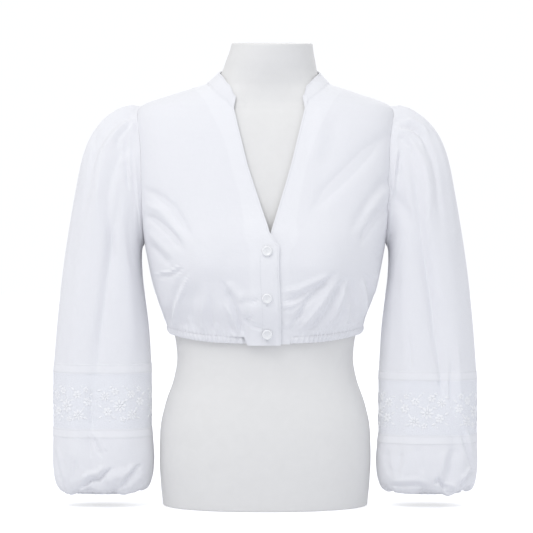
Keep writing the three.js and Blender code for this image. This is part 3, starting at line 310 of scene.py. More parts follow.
# The sleeves' finer creases as lines seen from the front: (|x|, z) points, width, height.
SLEEVE_CREASES = {
    "right": (
        (((190, 562), (201, 550), (213, 537), (216, 518)), 3.6, -2.8),
        (((190, 569), (207, 552), (225, 534), (240, 509), (251, 483)), 5, 2.6),
        (((243, 556), (247, 538), (248, 518), (250, 494)), 4.4, -2.3),
        (((204, 538), (207, 516), (209, 491)), 4, 1.6),
        (((196, 559), (196, 531), (196, 502), (193, 450)), 3.2, 1.5),
        (((200, 512), (200, 491), (197, 456)), 3.2, -1.5),
        (((209, 488), (212, 443), (218, 399), (226, 347), (237, 265), (244, 197), (251, 168)), 6.5, -2.5),
        (((228, 465), (234, 391), (243, 303), (254, 215)), 9, 1.3),
        (((253, 178), (253, 133), (250, 109)), 4, -2.2),
        (((265, 485), (273, 433), (282, 377), (287, 318)), 8, -1.5),
        (((193, 377), (194, 303), (188, 215)), 9, 1.2),
        (((251, 109), (245, 94), (235, 72)), 2.6, -2.2),
        (((244, 112), (237, 96), (228, 80)), 3.4, 1.2),
        (((257, 109), (254, 89), (253, 71)), 2.6, -1.2),
        (((272, 74), (276, 56), (281, 36)), 3.4, -1.4),
        (((309, 89), (306, 68), (301, 47), (297, 27)), 2.8, -2.6),
        (((301, 89), (297, 65), (291, 33)), 4, 1.3),
        (((275, 25), (262, 34), (253, 42), (240, 42), (229, 53), (216, 62)), 3.2, -5.2),
        (((269, 37), (256, 49), (243, 52), (229, 65)), 4.4, 2.6),
        (((231, 36), (216, 47), (201, 59)), 6, 1.8),
        (((219, 25), (209, 30), (197, 44), (184, 59), (175, 65)), 3.2, -4.2),
        (((216, 39), (201, 52), (187, 68)), 4, 1.8),
        (((204, 24), (190, 36), (175, 50)), 5, 1.6),
        (((187, 450), (187, 391), (184, 359)), 3.4, 1.4),
        (((198, 436), (196, 377), (190, 333)), 4, -1.2),
        (((293, 480), (295, 421), (298, 362)), 5, 1.2),
    ),
    "left": (
        (((190, 559), (201, 563), (213, 563), (228, 555), (244, 533)), 3.6, 2.8),
        (((190, 552), (203, 555), (213, 556), (226, 547), (237, 527)), 3, -2.8),
        (((190, 543), (201, 544), (213, 544), (225, 533), (234, 512)), 3.6, 2.2),
        (((190, 535), (201, 534), (210, 524), (215, 506)), 3.4, -1.8),
        (((222, 580), (240, 568), (254, 547)), 5, -1.6),
        (((193, 527), (190, 506), (187, 483), (185, 450)), 3, 2),
        (((197, 524), (194, 500), (190, 471)), 3.2, -1.8),
        (((207, 541), (215, 494), (223, 433), (231, 365), (241, 303), (247, 230), (256, 183)), 6, -4),
        (((198, 530), (204, 465), (213, 397)), 7, 1.6),
        (((228, 509), (240, 436), (248, 347), (263, 244)), 9, 1.9),
        (((181, 436), (179, 362), (173, 303), (171, 230)), 5, -1.5),
        (((206, 259), (210, 227), (210, 191)), 4, -1.2),
        (((247, 275), (252, 228), (255, 195), (257, 150)), 3.8, -1.7),
        (((257, 270), (262, 224), (264, 195), (266, 150)), 4, 1.2),
        (((269, 218), (270, 191), (270, 156), (279, 127)), 3.4, -2),
        (((276, 250), (279, 197), (282, 150)), 3.8, 1.1),
        (((282, 118), (288, 94), (295, 74), (304, 50)), 2.6, -3.2),
        (((290, 118), (295, 94), (304, 71)), 3.6, 2.2),
        (((281, 92), (273, 71), (270, 50), (275, 36)), 7.5, -2.8),
        (((263, 89), (257, 65), (253, 44)), 5, 1.5),
        (((307, 59), (297, 47), (288, 36), (281, 27)), 3, -3.4),
        (((301, 62), (290, 47), (281, 37)), 3.4, 2.2),
        (((245, 33), (251, 42), (259, 33), (263, 24)), 3, -4.2),
        (((259, 36), (269, 34), (279, 28)), 3.4, 2.4),
        (((260, 25), (269, 22), (278, 24)), 2.6, -2.4),
        (((179, 38), (198, 40), (219, 42), (242, 36)), 4, 1.6),
        (((176, 32), (196, 32), (219, 34), (243, 29)), 2.8, -2.6),
        (((197, 86), (193, 65), (190, 42)), 5, -1.2),
        (((216, 94), (223, 71), (231, 47)), 6, -1.4),
        (((279, 494), (284, 406), (288, 303)), 8, -1.5),
        (((266, 524), (272, 450), (278, 362)), 6, 1.1),
        (((176, 89), (176, 65), (184, 42)), 4, -1.4),
    ),
}


class Side(Enum):
    """A side of the blouse, the wearer's."""

    RIGHT = -1
    LEFT = 1

    @property
    def label(self) -> str:
        """The side's word in the names of nodes and pieces."""
        return self.name.lower()

    @property
    def band(self) -> tuple[float, float]:
        """Upper and lower z of this sleeve's lace band."""
        return BAND_HEIGHTS[self.label]


class SmoothCurve:
    """A smooth curve with no overshoot through a table's points."""

    def __init__(self, keys: Sequence[float], values: Sequence[float]) -> None:
        """Works out the slope at each point.

        Args:
            keys: the places, rising.
            values: the value at each place.
        """
        self.keys, self.values = np.asarray(keys, float), np.asarray(values, float)
        self.extra = (1,) * (self.values.ndim - 1)
        slope = np.diff(self.values, axis=0) / np.diff(self.keys).reshape((-1,) + self.extra)
        product, total = slope[:-1] * slope[1:], slope[:-1] + slope[1:]
        middle = np.where(product > 0, 2 * product / np.where(product > 0, total, 1), 0)
        self.bends = np.concatenate([slope[:1], middle, slope[-1:]])

    def __call__(self, at: Array) -> Array:
        """The curve's value at each place.

        Args:
            at: the places.

        Returns:
            A value, or a row of values, for each place.
        """
        at = np.clip(np.asarray(at, float), self.keys[0], self.keys[-1])
        i = np.clip(np.searchsorted(self.keys, at, side="right") - 1, 0, len(self.keys) - 2)
        step = (self.keys[i + 1] - self.keys[i]).reshape(i.shape + self.extra)
        t = (at - self.keys[i]).reshape(i.shape + self.extra) / step
        t2, t3 = t * t, t * t * t
        return (
            (2 * t3 - 3 * t2 + 1) * self.values[i]
            + (t3 - 2 * t2 + t) * step * self.bends[i]
            + (3 * t2 - 2 * t3) * self.values[i + 1]
            + (t3 - t2) * step * self.bends[i + 1]
        )


def smoothstep(at: Array, low: float, high: float) -> Array:
    """0 below low, 1 above high and a soft rise between them."""
    t = np.clip((np.asarray(at, float) - low) / (high - low), 0, 1)
    return t * t * (3 - 2 * t)


def bell(away: Array, width: float) -> Array:
    """1 at distance 0 and a soft fall over the width to both sides."""
    return np.exp(-((away / width) ** 2))


def ripple(waves: Sequence[tuple[float, float, float]], around: Array) -> Array:
    """The sum of sine waves, each given by its size, its count and its start."""
    return sum(size * np.sin(count * around + start) for size, count, start in waves)


def crease_height(creases: Sequence, x: Array, z: Array) -> Array:
    """The summed height of crease lines at points. Each line fades towards its ends.

    Args:
        creases: entries of (points, width, height).
        x: first coordinate of the points.
        z: second coordinate of the points.

    Returns:
        The height at each point, in millimetres.
    """
    height = np.zeros(np.broadcast(x, z).shape)
    for points, width, tall in creases:
        runs = [(x1 - x0, z1 - z0) for (x0, z0), (x1, z1) in zip(points[:-1], points[1:])]
        whole = sum(math.hypot(*run) for run in runs)
        away, share = np.full(height.shape, FAR_AWAY), np.zeros(height.shape)
        weight, done = TINY, 0.0
        for (x0, z0), (run_x, run_z) in zip(points, runs):
            length = math.hypot(run_x, run_z)
            t = np.clip(((x - x0) * run_x + (z - z0) * run_z) / length**2, 0, 1)
            near = np.hypot(x - x0 - t * run_x, z - z0 - t * run_z)
            close = bell(near, CREASE_BLEND * width)
            share = share + close * (done + t * length) / whole
            weight = weight + close
            away = np.minimum(away, near)
            done += length
        share = share / weight
        fade = smoothstep(share, 0.0, CREASE_FADE) * (1 - smoothstep(share, 1 - CREASE_FADE, 1.0))
        height += tall * fade * bell(away, width * (CREASE_END + (1 - CREASE_END) * fade))
    return height


class Figure:
    """The general figure under the cloth: the form's own surface and the bodice's above it."""

    def __init__(self) -> None:
        """Makes a curve for each column of the form's table."""
        self.columns = [SmoothCurve(FORM[:, 0], FORM[:, k]) for k in range(1, 6)]

    def form_point(self, turn: Array, z: Array) -> Array:
        """Points of the form.

        Args:
            turn: place round the figure, 0 at +x and a quarter turn at the front.
            z: height.

        Returns:
            Points in millimetres.
        """
        half, front, back, power, lean = (column(z) for column in self.columns)
        c, s = np.cos(turn), np.sin(turn)
        across, along = np.abs(c) ** (2 / power), np.abs(s) ** (2 / power)
        x = lean + np.sign(c) * half * across
        reach = np.where(z > CUP_Z, CUP_ABOVE, CUP_BELOW)
        cup = CUP_DEPTH * np.exp(-(((np.abs(x) - CUP_X) / CUP_WIDTH) ** 2) - ((z - CUP_Z) / reach) ** 2)
        y = np.where(s < 0, back * along, -(front + cup) * along)
        return np.stack(np.broadcast_arrays(x, y, z), -1)

    def form_normal(self, turn: Array, z: Array) -> Array:
        """Outward directions of the form's surface.

        Args:
            turn: place round the figure.
            z: height.

        Returns:
            A direction of length 1 at each place.
        """
        step, rise = math.radians(0.8), 3.0
        across = self.form_point(turn + step, z) - self.form_point(turn - step, z)
        up = self.form_point(turn, z + rise) - self.form_point(turn, z - rise)
        normal = np.cross(up, across)
        return normal / np.linalg.norm(normal, axis=-1, keepdims=True)

    def turn_at(self, x: Array, z: Array) -> Array:
        """The turn at which the form's front has a given x.

        Args:
            x: the places across the front.
            z: their heights.

        Returns:
            The turns, in radians.
        """
        half, _, _, power, lean = (column(z) for column in self.columns)
        share = np.clip(np.abs(x - lean) / half, 0, 1) ** (power / 2)
        return np.arccos(np.sign(x - lean) * share)

    def cloth_point(self, turn: Array, z: Array, extra: Array = 0.0, detail: float = 1.0) -> Array:
        """Points of the bodice's outer face.

        Args:
            turn: place round the figure, in radians.
            z: height.
            extra: height over the plain cloth.
            detail: share of the finer creases that is used.

        Returns:
            Points in millimetres.
        """
        base = self.form_point(turn, z)
        x, z = base[..., 0], base[..., 2]
        front = np.sin(turn) >= 0
        drape, coarse, fine = (
            np.where(front, a, b)
            for a, b in (
                (mounds(FRONT_DRAPE, x, z), mounds(BACK_DRAPE, x, z)),
                (crease_height(FRONT_CREASES, x, z), crease_height(BACK_CREASES, x, z)),
                (crease_height(FRONT_DETAIL, x, z), crease_height(BACK_DETAIL, x, z)),
            )
        )
        fade = np.minimum(1, np.abs(np.sin(turn)) * SIDE_FADE)
        fine = fine * detail * smoothstep(z - casing_top(turn), *HEM_CALM)
        fold = np.maximum(coarse * COARSE_SHARE + FINE_SHARE * fine, -FOLD_DEPTH - drape)
        height = STAND_OFF + (drape + fold) * fade + extra
        return base + self.form_normal(turn, z) * height[..., None]


def mounds(table: Sequence, x: Array, z: Array) -> Array:
    """The summed height of soft mounds at points."""
    return sum(d * np.exp(-(((x - mx) / w) ** 2) - ((z - mz) / h) ** 2) for mx, mz, w, h, d in table)


FIGURE = Figure()
NECK = [SmoothCurve(NECKLINE[:, 0], NECKLINE[:, k]) for k in range(1, 5)]


def by_side(side: Side, turn: Array) -> Array:
    """The turn on the wearer's left, mirrored for the right."""
    return turn if side is Side.LEFT else math.pi - turn


def casing_top(turn: Array) -> Array:
    """z of the hem casing's upper edge."""
    side, front = np.abs(np.cos(turn)) ** 3, np.sin(turn) > 0
    return np.where(front, CASING_FRONT + CASING_FRONT_RISE * side, CASING_BACK + CASING_BACK_RISE * side)


def armhole(side: Side, swing: Array, front: Array) -> tuple[Array, Array]:
    """The armhole seam.

    Args:
        side: the wearer's side.
        swing: place on the seam, 0 at the shoulder and pi at the underarm.
        front: whether the place is on the front half.

    Returns:
        Turn and z of the seam.
    """
    z = (SHOULDER_TIP + UNDERARM) / 2 + (SHOULDER_TIP - UNDERARM) / 2 * np.cos(swing)
    _, deep_front, deep_back, power, _ = (column(z) for column in FIGURE.columns)
    reach = np.where(front, ARMHOLE_FRONT / deep_front, ARMHOLE_BACK / deep_back)
    turn = np.arcsin(np.clip(reach * np.sin(swing), 0, 1) ** (power / 2))
    return by_side(side, np.where(front, turn, -turn)), z


def side_edge(side: Side, v: Array, front: bool) -> tuple[Array, Array]:
    """A panel's side edge: the side seam up to the underarm, then the armhole.

    Args:
        side: the wearer's side.
        v: place on the edge, from the hem upwards.
        front: whether the panel is a front.

    Returns:
        Turn and z of the edge.
    """
    seam = by_side(side, 0.0)
    swing = math.pi * (1 - np.clip((v - V_ROW) / (1 - V_ROW), 0, 1)) ** SWING_POWER
    turn, z = armhole(side, swing, front)
    hem = casing_top(np.asarray(seam))
    below = v < V_ROW
    return np.where(below, seam, turn), np.where(below, hem + (UNDERARM - hem) * v / V_ROW, z)


def edge_line(side: Side, v: Array) -> tuple[Array, Array]:
    """A front edge from the hem to the collar's corner.

    Args:
        side: the wearer's side.
        v: place on the edge, from the hem upwards.

    Returns:
        Turn and z of the edge.
    """
    table = RIGHT_EDGE if side is Side.RIGHT else LEFT_EDGE
    z = np.interp(v, table[:, 0], table[:, 1])
    return FIGURE.turn_at(np.interp(v, table[:, 0], table[:, 2]), z), z


def corner_turn(side: Side, t: Array) -> Array:
    """How far the neckline turns near its corner, to meet the front edge."""
    corner = by_side(side, edge_line(side, np.asarray(CORNER_ROW))[0]) - math.radians(NECKLINE[0, 1])
    return corner * (1 - smoothstep(t, 0, CORNER_BLEND))


def neck_seam(side: Side, t: Array) -> tuple[Array, Array]:
    """Turn and z of the neck seam."""
    return by_side(side, np.radians(NECK[0](t)) + corner_turn(side, t)), NECK[1](t)


def patch(bottom: Callable, top: Callable, near: Callable, far: Callable) -> Callable:
    """A surface between four edges.

    Args:
        bottom: edge at v 0, a function of u that gives (turn, z).
        top: edge at v 1.
        near: edge at u 0, a function of v.
        far: edge at u 1.

    Returns:
        A function of (u, v) that gives (turn, z).
    """

    def place(u: Array, v: Array) -> list[Array]:
        """Turn and z inside the four edges.

        Args:
            u: place between the near and the far edge.
            v: place between the bottom and the top.

        Returns:
            The turns and the heights.
        """
        b, t, n, f = bottom(u), top(u), near(v), far(v)
        b0, b1, t0, t1 = (edge(np.asarray(end)) for edge in (bottom, top) for end in (0.0, 1.0))
        return [
            (1 - v) * b[k] + v * t[k] + (1 - u) * n[k] + u * f[k]
            - (1 - v) * ((1 - u) * b0[k] + u * b1[k]) - v * ((1 - u) * t0[k] + u * t1[k])
            for k in (0, 1)
        ]

    return place


def edge_shares(v: Array) -> Array:
    """Place on the collar's seam of a panel row above the collar's corner."""
    return 0.5 * np.clip((v - CORNER_ROW) / (1 - CORNER_ROW), 0, 1)


def front_edge(side: Side, v: Array) -> list[Array]:
    """Turn and z of a front panel's inner edge: the opening, then the neckline."""
    line, seam = edge_line(side, v), neck_seam(side, edge_shares(v))
    return [np.where(v > CORNER_ROW, seam[k], line[k]) for k in (0, 1)]


def lap_rise(side: Side, x: Array, z: Array) -> Array:
    """How far the right front is lifted where it lies over the left one.

    Args:
        side: the wearer's side.
        x: places across the front.
        z: their heights.

    Returns:
        The rise at each place, 0 all over on the left.
    """
    if side is Side.LEFT:
        return np.zeros(np.broadcast(x, z).shape)
    rolled = LAP_ROLL * smoothstep(x, LAP_ROLL_FROM, RIGHT_FRONT_EDGE)
    return (LAP_RISE * smoothstep(x, LAP_FROM, LAP_FULL) - rolled) * (1 - smoothstep(z, LAP_LOW, LAP_HIGH))


def gather_wave(around: Array) -> Array:
    """The uneven wave of the hem's gathers, for a turn that runs on from the right front."""
    return (1 + ripple(GATHER_SIZES, around)) * np.cos(GATHERS * around + ripple(GATHER_WARP, around))


def hem_gathers(turn: Array, z: Array, around: Array) -> Array:
    """Height of the gathers, which fade above the hem casing."""
    above = np.clip(z - casing_top(turn), 0, None)
    return GATHER_HEIGHT * np.exp(-above / GATHER_REACH) * gather_wave(around)


def front_panel(side: Side) -> Callable:
    """A front panel's surface.

    Args:
        side: the wearer's side.

    Returns:
        A function of (u, v, extra) that gives points. u runs from the inner edge to the side
        and v from the hem upwards.
    """
    seam = by_side(side, 0.0)
    start = front_edge(side, np.asarray(0.0))

    def bottom(u: Array) -> tuple[Array, Array]:
        """The lower edge: level on the placket, then along the casing."""
        turn = start[0] + (seam - start[0]) * u
        return turn, start[1] + (casing_top(turn) - start[1]) * smoothstep(u, 0, HEM_START)

    def top(u: Array) -> tuple[Array, Array]:
        """The shoulder seam."""
        return seam + 0 * u, NECK_POINT + (SHOULDER_TIP - NECK_POINT) * u

    place = patch(bottom, top, lambda v: front_edge(side, v), lambda v: side_edge(side, v, True))

    def at(u: Array, v: Array, extra: Array = 0.0) -> Array:
        """Points of the panel.

        Args:
            u: place across the panel.
            v: place up the panel.
            extra: height over the plain cloth.

        Returns:
            Points in millimetres.
        """
        turn, z = place(u, v)
        step = smoothstep(u, 0, HEM_START) - smoothstep(u, PLACKET_END, HEM_START)
        z = z - (casing_top(turn) - start[1]) * step * bell(v, HEM_STEP_REACH)
        around = turn + (2 * math.pi if side is Side.LEFT else 0)
        gathers = hem_gathers(turn, z, around) * smoothstep(u, HEM_START, HEM_START + GATHER_RAMP)
        rise = extra + lap_rise(side, FIGURE.form_point(turn, z)[..., 0], z) + gathers
        points = FIGURE.cloth_point(turn, z, rise)
        points[..., 1] = np.minimum(points[..., 1], -GAP / 2)
        return points

    return at


def back_panel() -> Callable:
    """The back panel's surface.

    Returns:
        A function of (u, v, extra) that gives points. u runs from the right side to the left
        one and v from the hem upwards.
    """
    right, left, shoulder = math.pi, 2 * math.pi, SHOULDER_SHARE

    def far(v: Array) -> list[Array]:
        """The wearer's left edge, one full turn on."""
        turn, z = side_edge(Side.LEFT, v, False)
        return [turn + 2 * math.pi, z]

    def bottom(u: Array) -> tuple[Array, Array]:
        """The lower edge, along the casing."""
        turn = right + (left - right) * u
        return turn, casing_top(turn)

    def top(u: Array) -> list[Array]:
        """The shoulder seams and the back of the neckline.

        Args:
            u: place from the right shoulder to the left one.

        Returns:
            The turns and the heights.
        """
        side = np.minimum(u, 1 - u)
        turn, z = neck_seam(Side.LEFT, 0.5 + 0.5 * np.clip((side - shoulder) / (0.5 - shoulder), 0, 1))
        on_shoulder = side < shoulder
        flat = SHOULDER_TIP + (NECK_POINT - SHOULDER_TIP) * side / shoulder
        at_neck = np.where(u < 0.5, math.pi - turn, 2 * math.pi + turn)
        at_shoulder = np.where(u < 0.5, right, left)
        return [np.where(on_shoulder, at_shoulder, at_neck), np.where(on_shoulder, flat, z)]

    place = patch(bottom, top, lambda v: side_edge(Side.RIGHT, v, False), far)

    def at(u: Array, v: Array, extra: Array = 0.0) -> Array:
        """Points of the panel.

        Args:
            u: place across the panel.
            v: place up the panel.
            extra: height over the plain cloth.

        Returns:
            Points in millimetres.
        """
        turn, z = place(u, v)
        points = FIGURE.cloth_point(turn, z, extra + hem_gathers(turn, z, turn))
        points[..., 1] = np.maximum(points[..., 1], GAP / 2)
        return points

    return at


def width_shares(panel: Callable, v: Array, wide: Array) -> Array:
    """The u at which a panel's rows are a given distance from its inner edge.

    Args:
        panel: the panel's surface.
        v: the rows.
        wide: the distance for each row, in millimetres.

    Returns:
        A u for each row, found by halving.
    """
    start, low, high = panel(0 * v, v), np.zeros_like(v), np.full_like(v, WIDEST_SHARE)
    for _ in range(HALVINGS):
        middle = (low + high) / 2
        near = np.linalg.norm(panel(middle, v) - start, axis=-1) < wide
        low, high = np.where(near, middle, low), np.where(near, high, middle)
    return low


def signed_power(value: Array, exponent: float) -> Array:
    """A power that keeps the sign."""
    return np.sign(value) * np.abs(value) ** exponent


@dataclass
class SleeveShape:
    """The surfaces of one sleeve: upper sleeve, lace band and lower sleeve.

    plump is the seam's ridge: height, place, width. A strip's steps start from the band's edge:
    rise from, rise to, fall from, fall to. Rows are those of the lower sleeve's table, and
    pinch_heights holds the pinches' height under the lip and on it.
    """

    side: Side
    oval_power: float = 2.2
    fold_share: float = 0.75
    fine_share: float = 1.2
    front_gain: float = 2.2
    back_share: float = 0.8
    back_shift: tuple[float, float] = (9.0, 11.0)
    back_slant: float = 0.02
    back_pivot: float = 300.0
    high_band: float = 195.0
    drop_end: float = 310.0
    seam_clear: float = 0.15
    seam_blend: float = 0.035
    plump: tuple[float, float, float] = (1.4, 0.03, 0.018)
    strip_above: tuple[float, float, float, float] = (-1.0, 0.5, 12.5, 14.0)
    strip_below: tuple[float, float, float, float] = (-14.0, -12.5, 0.0, 1.0)
    under_rows: tuple[float, float] = (5.6, 7.0)
    pinch_rows: tuple[float, float] = (5.0, 8.0)
    pinch_heights: tuple[float, float] = (1.5, 0.7)
    lip_share: float = 0.2
    lip_power: int = 6

    def __post_init__(self) -> None:
        """Looks up the side's band, creases and sections."""
        self.top, self.bottom = self.side.band
        self.folds = SLEEVE_FOLDS[self.side.label] + SLEEVE_FOLDS["both"]
        self.creases = SLEEVE_CREASES[self.side.label]
        self.lower = SmoothCurve(np.arange(len(LOWER_SLEEVE)), LOWER_SLEEVE)

    def fold(self, s: Array, turn: Array, girth: Array) -> Array:
        """Height of the long creases.

        Args:
            s: place down the sleeve, of the same shape as turn.
            turn: place round it, in radians.
            girth: length round it.

        Returns:
            The height at each place.
        """
        height = np.zeros(np.broadcast(s, turn).shape)
        for (s0, turn0), (s1, turn1), width, tall in self.folds:
            t = np.clip((s - s0) / (s1 - s0), 0, 1)
            off = (np.degrees(turn) - (turn0 + (turn1 - turn0) * t) + 180) % 360 - 180
            past = np.maximum(np.maximum(s0 - s, s - s1), 0)
            away = np.radians(off) * girth / (2 * math.pi)
            height += self.fold_share * tall * bell(away, width) * bell(past, FOLD_END)
        return height

    def fine(self, point: Array, turn: Array) -> Array:
        """Height of the finer creases. The back repeats the front's, moved and slanted.

        Args:
            point: points of the sleeve, for the wearer's left.
            turn: their places round it.

        Returns:
            The height at each point.
        """
        x, z, toward = np.abs(point[..., 0]), point[..., 2], self.front_gain * np.sin(turn)
        front = crease_height(self.creases, x, z) * np.clip(toward, 0, 1)
        moved_x = x + self.back_shift[0] + self.back_slant * (z - self.back_pivot)
        back = crease_height(self.creases, moved_x, z - self.back_shift[1]) * np.clip(-toward, 0, 1)
        return front + self.back_share * back

    def section(self, middle: Array, axis: Array, depth: Array, turn: Array) -> tuple[Array, Array, Array]:
        """Level ovals, for the wearer's left.

        Args:
            middle: their middles.
            axis: from each middle to the outer side.
            depth: half their depth.
            turn: places round them.

        Returns:
            Points, outward directions and girths.
        """
        power = 2 / self.oval_power
        across, along = signed_power(np.cos(turn), power), signed_power(np.sin(turn), power)
        spoke = axis * across[..., None] + np.stack([0 * across, -depth * along, 0 * across], -1)
        girth = math.pi * (np.linalg.norm(axis, axis=-1) + depth)
        return middle + spoke, spoke / np.linalg.norm(spoke, axis=-1, keepdims=True), girth

    def mirrored(self, points: Array) -> Array:
        """Points of the wearer's left moved to this side."""
        return points * np.array([self.side.value, 1, 1])

    def drop(self, z: Array) -> Array:
        """z lowered as this side's band is."""
        return z - (self.high_band - self.top) * (1 - smoothstep(z, self.high_band, self.drop_end))

    def upper(self, u: Array, v: Array) -> Array:
        """The upper sleeve.

        Args:
            u: place round it.
            v: place from the armhole to the band.

        Returns:
            Points in millimetres.
        """
        turns = 2 * math.pi * u[0]
        front = turns <= math.pi
        swing = np.where(front, turns, 2 * math.pi - turns)
        at_front, at_back = armhole(self.side, swing, True), armhole(self.side, swing, False)
        at_seam = (np.where(front, a, b) for a, b in zip(at_front, at_back))
        seam = self.mirrored(FIGURE.cloth_point(*at_seam))
        seam[..., 0] += self.seam_clear
        s, inner_x, inner_z, outer_x, outer_z, depth, lean = SLEEVE.T
        inner = np.stack([inner_x, lean, self.drop(inner_z)], -1)
        outer = np.stack([outer_x, lean, self.drop(outer_z)], -1)
        shape = (len(s), len(turns))
        middle, axis = (
            np.broadcast_to(rows[:, None, :], shape + (3,))
            for rows in ((inner + outer) / 2, (outer - inner) / 2)
        )
        turn = np.broadcast_to(turns, shape)
        rings, spokes, girth = self.section(middle, axis, np.broadcast_to(depth[:, None], shape), turn)
        keys = np.concatenate([[0], s])
        base = SmoothCurve(keys, np.concatenate([seam[None], rings]))(v[:, 0])
        spoke = SmoothCurve(keys, np.concatenate([spokes[:1], spokes]))(v[:, 0])
        around = SmoothCurve(keys, np.concatenate([girth[:1, 0], girth[:, 0]]))(v[:, 0])[:, None]
        turn = 2 * math.pi * u
        ridge, place, width = self.plump
        plump = ridge * bell(v - place, width) + self.strips(base[..., 2])
        height = self.fold(v, turn, around) + self.fine_share * self.fine(base, turn) + plump
        return self.mirrored(base + spoke * (height * smoothstep(v, 0, self.seam_blend))[..., None])

    def strips(self, z: Array) -> Array:
        """The low step of the doubled strips above and below the band.

        Args:
            z: heights on the sleeve.

        Returns:
            The rise at each height.
        """
        edges = ((self.top, self.strip_above), (self.bottom, self.strip_below))
        return STRIP_RISE * sum(
            smoothstep(z, edge + a, edge + b) * (1 - smoothstep(z, edge + c, edge + d))
            for edge, (a, b, c, d) in edges
        )

    def band(self, turn: Array, z: Array, out: Array = 0.0) -> Array:
        """Points of the lace band.

        Args:
            turn: place round it.
            z: height.
            out: how far they are raised.

        Returns:
            Points in millimetres.
        """
        s = 1 + (BAND_END - 1) * (self.top - z) / (self.top - self.bottom)
        zero = 0 * z
        centre = np.stack([COLUMN_MIDDLE + zero, COLUMN_Y + zero, z], -1)
        axis = np.stack([COLUMN_HALF + zero, zero, zero], -1)
        base, spoke, girth = self.section(centre, axis, COLUMN_DEPTH + zero, turn)
        height = self.fold(s, turn, girth) + self.fine_share * self.fine(base, turn)
        return self.mirrored(base + spoke * height[..., None] + spoke * np.asarray(out)[..., None])

    def hanging(self, u: Array, v: Array) -> Array:
        """The lower sleeve.

        Args:
            u: place round it.
            v: place from the band down and round the lip.

        Returns:
            Points in millimetres.
        """
        turn = 2 * math.pi * u
        row = v * (len(LOWER_SLEEVE) - 1)
        share, half, depth, middle = np.moveaxis(self.lower(row), -1, 0)
        share = np.clip(share, 0, 1)
        under = smoothstep(row, *self.under_rows)
        turned = np.degrees(turn)
        waves = LIP_LOBES[self.side.label]
        lobes = sum(tall * bell((turned - at + 180) % 360 - 180, width) for at, width, tall in waves)
        z = LIP + (self.bottom - LIP) * share + lobes * (1 - share) ** self.lip_power * (1 - under)
        s = 2 + (BAND_END - 2) * share
        zero = 0 * z
        centre = np.stack([middle, COLUMN_Y + zero, z], -1)
        base, spoke, girth = self.section(centre, np.stack([half, zero, zero], -1), depth, turn)
        on_lip = 1 - smoothstep(share, 0, self.lip_share)
        gather = np.cos(CUFF_GATHERS * turn + ripple(LIP_WARP, turn))
        beneath, above = self.pinch_heights
        pinch = (beneath * smoothstep(row, *self.pinch_rows) + above * on_lip) * gather
        creases = self.fold(s, turn, girth) * (1 - on_lip) + self.fine_share * self.fine(base, turn)
        height = (creases + self.strips(z)) * (1 - under) + pinch
        return self.mirrored(base + spoke * height[..., None])


def collar_points(u: Array, v: Array) -> Array:
    """The stand collar.

    Args:
        u: place from the right corner round the back to the left one.
        v: place from the seam upwards.

    Returns:
        Points in millimetres.
    """
    t = 1 - np.abs(2 * u - 1)
    at = [curve(t) for curve in NECK]
    foot, top = [], []
    for side in Side:
        turn = corner_turn(side, t)
        low = by_side(side, np.radians(at[0]) + turn)
        high = by_side(side, np.radians(at[2]) + turn)
        foot.append(FIGURE.cloth_point(low, at[1], detail=0))
        top.append(FIGURE.form_point(high, at[3]) + FIGURE.form_normal(high, at[3]) * COLLAR_TOP_OFF)
    right = (u < 0.5)[..., None]
    lower, upper = np.where(right, foot[0], foot[1]), np.where(right, top[0], top[1])
    rise = upper - lower
    start = COLLAR_START / np.linalg.norm(rise, axis=-1, keepdims=True)
    return lower + rise * (start + (1 - start) * v[..., None])


def casing_points(u: Array, v: Array) -> Array:
    """The hem casing, with its ends tucked behind the fronts.

    Args:
        u: place from the placket round the right side and the back.
        v: place from the casing's lower edge upwards.

    Returns:
        Points in millimetres.
    """
    ends = []
    for side in Side:
        placket = front_edge(side, np.asarray(0.0))[0]
        placket = placket + (by_side(side, 0.0) - placket) * HEM_START
        ends.append(placket + side.value * CASING_UNDER)
    around = ends[0] + (2 * math.pi + ends[1] - ends[0]) * u
    z = casing_top(around) - GAP - CASING_HEIGHT * (1 - v)
    swell = np.sin(math.pi * v)
    tuck = 1 - smoothstep(np.minimum(u, 1 - u), *TUCK_SHARES)
    gathers = (CASING_WAVE[0] + CASING_WAVE[1] * swell) * gather_wave(around)
    height = STAND_OFF + CASING_RISE - CASING_SINK + (CASING_SWELL * swell + gathers) * (1 - tuck)
    height = height - TUCK_DEPTH * tuck
    return FIGURE.form_point(around, z) + FIGURE.form_normal(around, z) * height[..., None]


def cuff_points(side: Side, u: Array, v: Array) -> Array:
    """A cuff.

    Args:
        side: the wearer's side.
        u: place round the cuff.
        v: place from its upper edge down.

    Returns:
        Points in millimetres.
    """
    turn = 2 * math.pi * u
    pleats = CUFF_WAVE * np.cos(CUFF_GATHERS * turn + ripple(CUFF_WARP, turn))
    wave = -CUFF_SINK + pleats + CUFF_SWELL * np.sin(math.pi * v)
    x = side.value * (COLUMN_MIDDLE + (CUFF_HALF + wave) * np.cos(turn))
    return np.stack([x, COLUMN_Y - (CUFF_DEPTH + wave) * np.sin(turn), CUFF_TOP - CUFF_HEIGHT * v], -1)


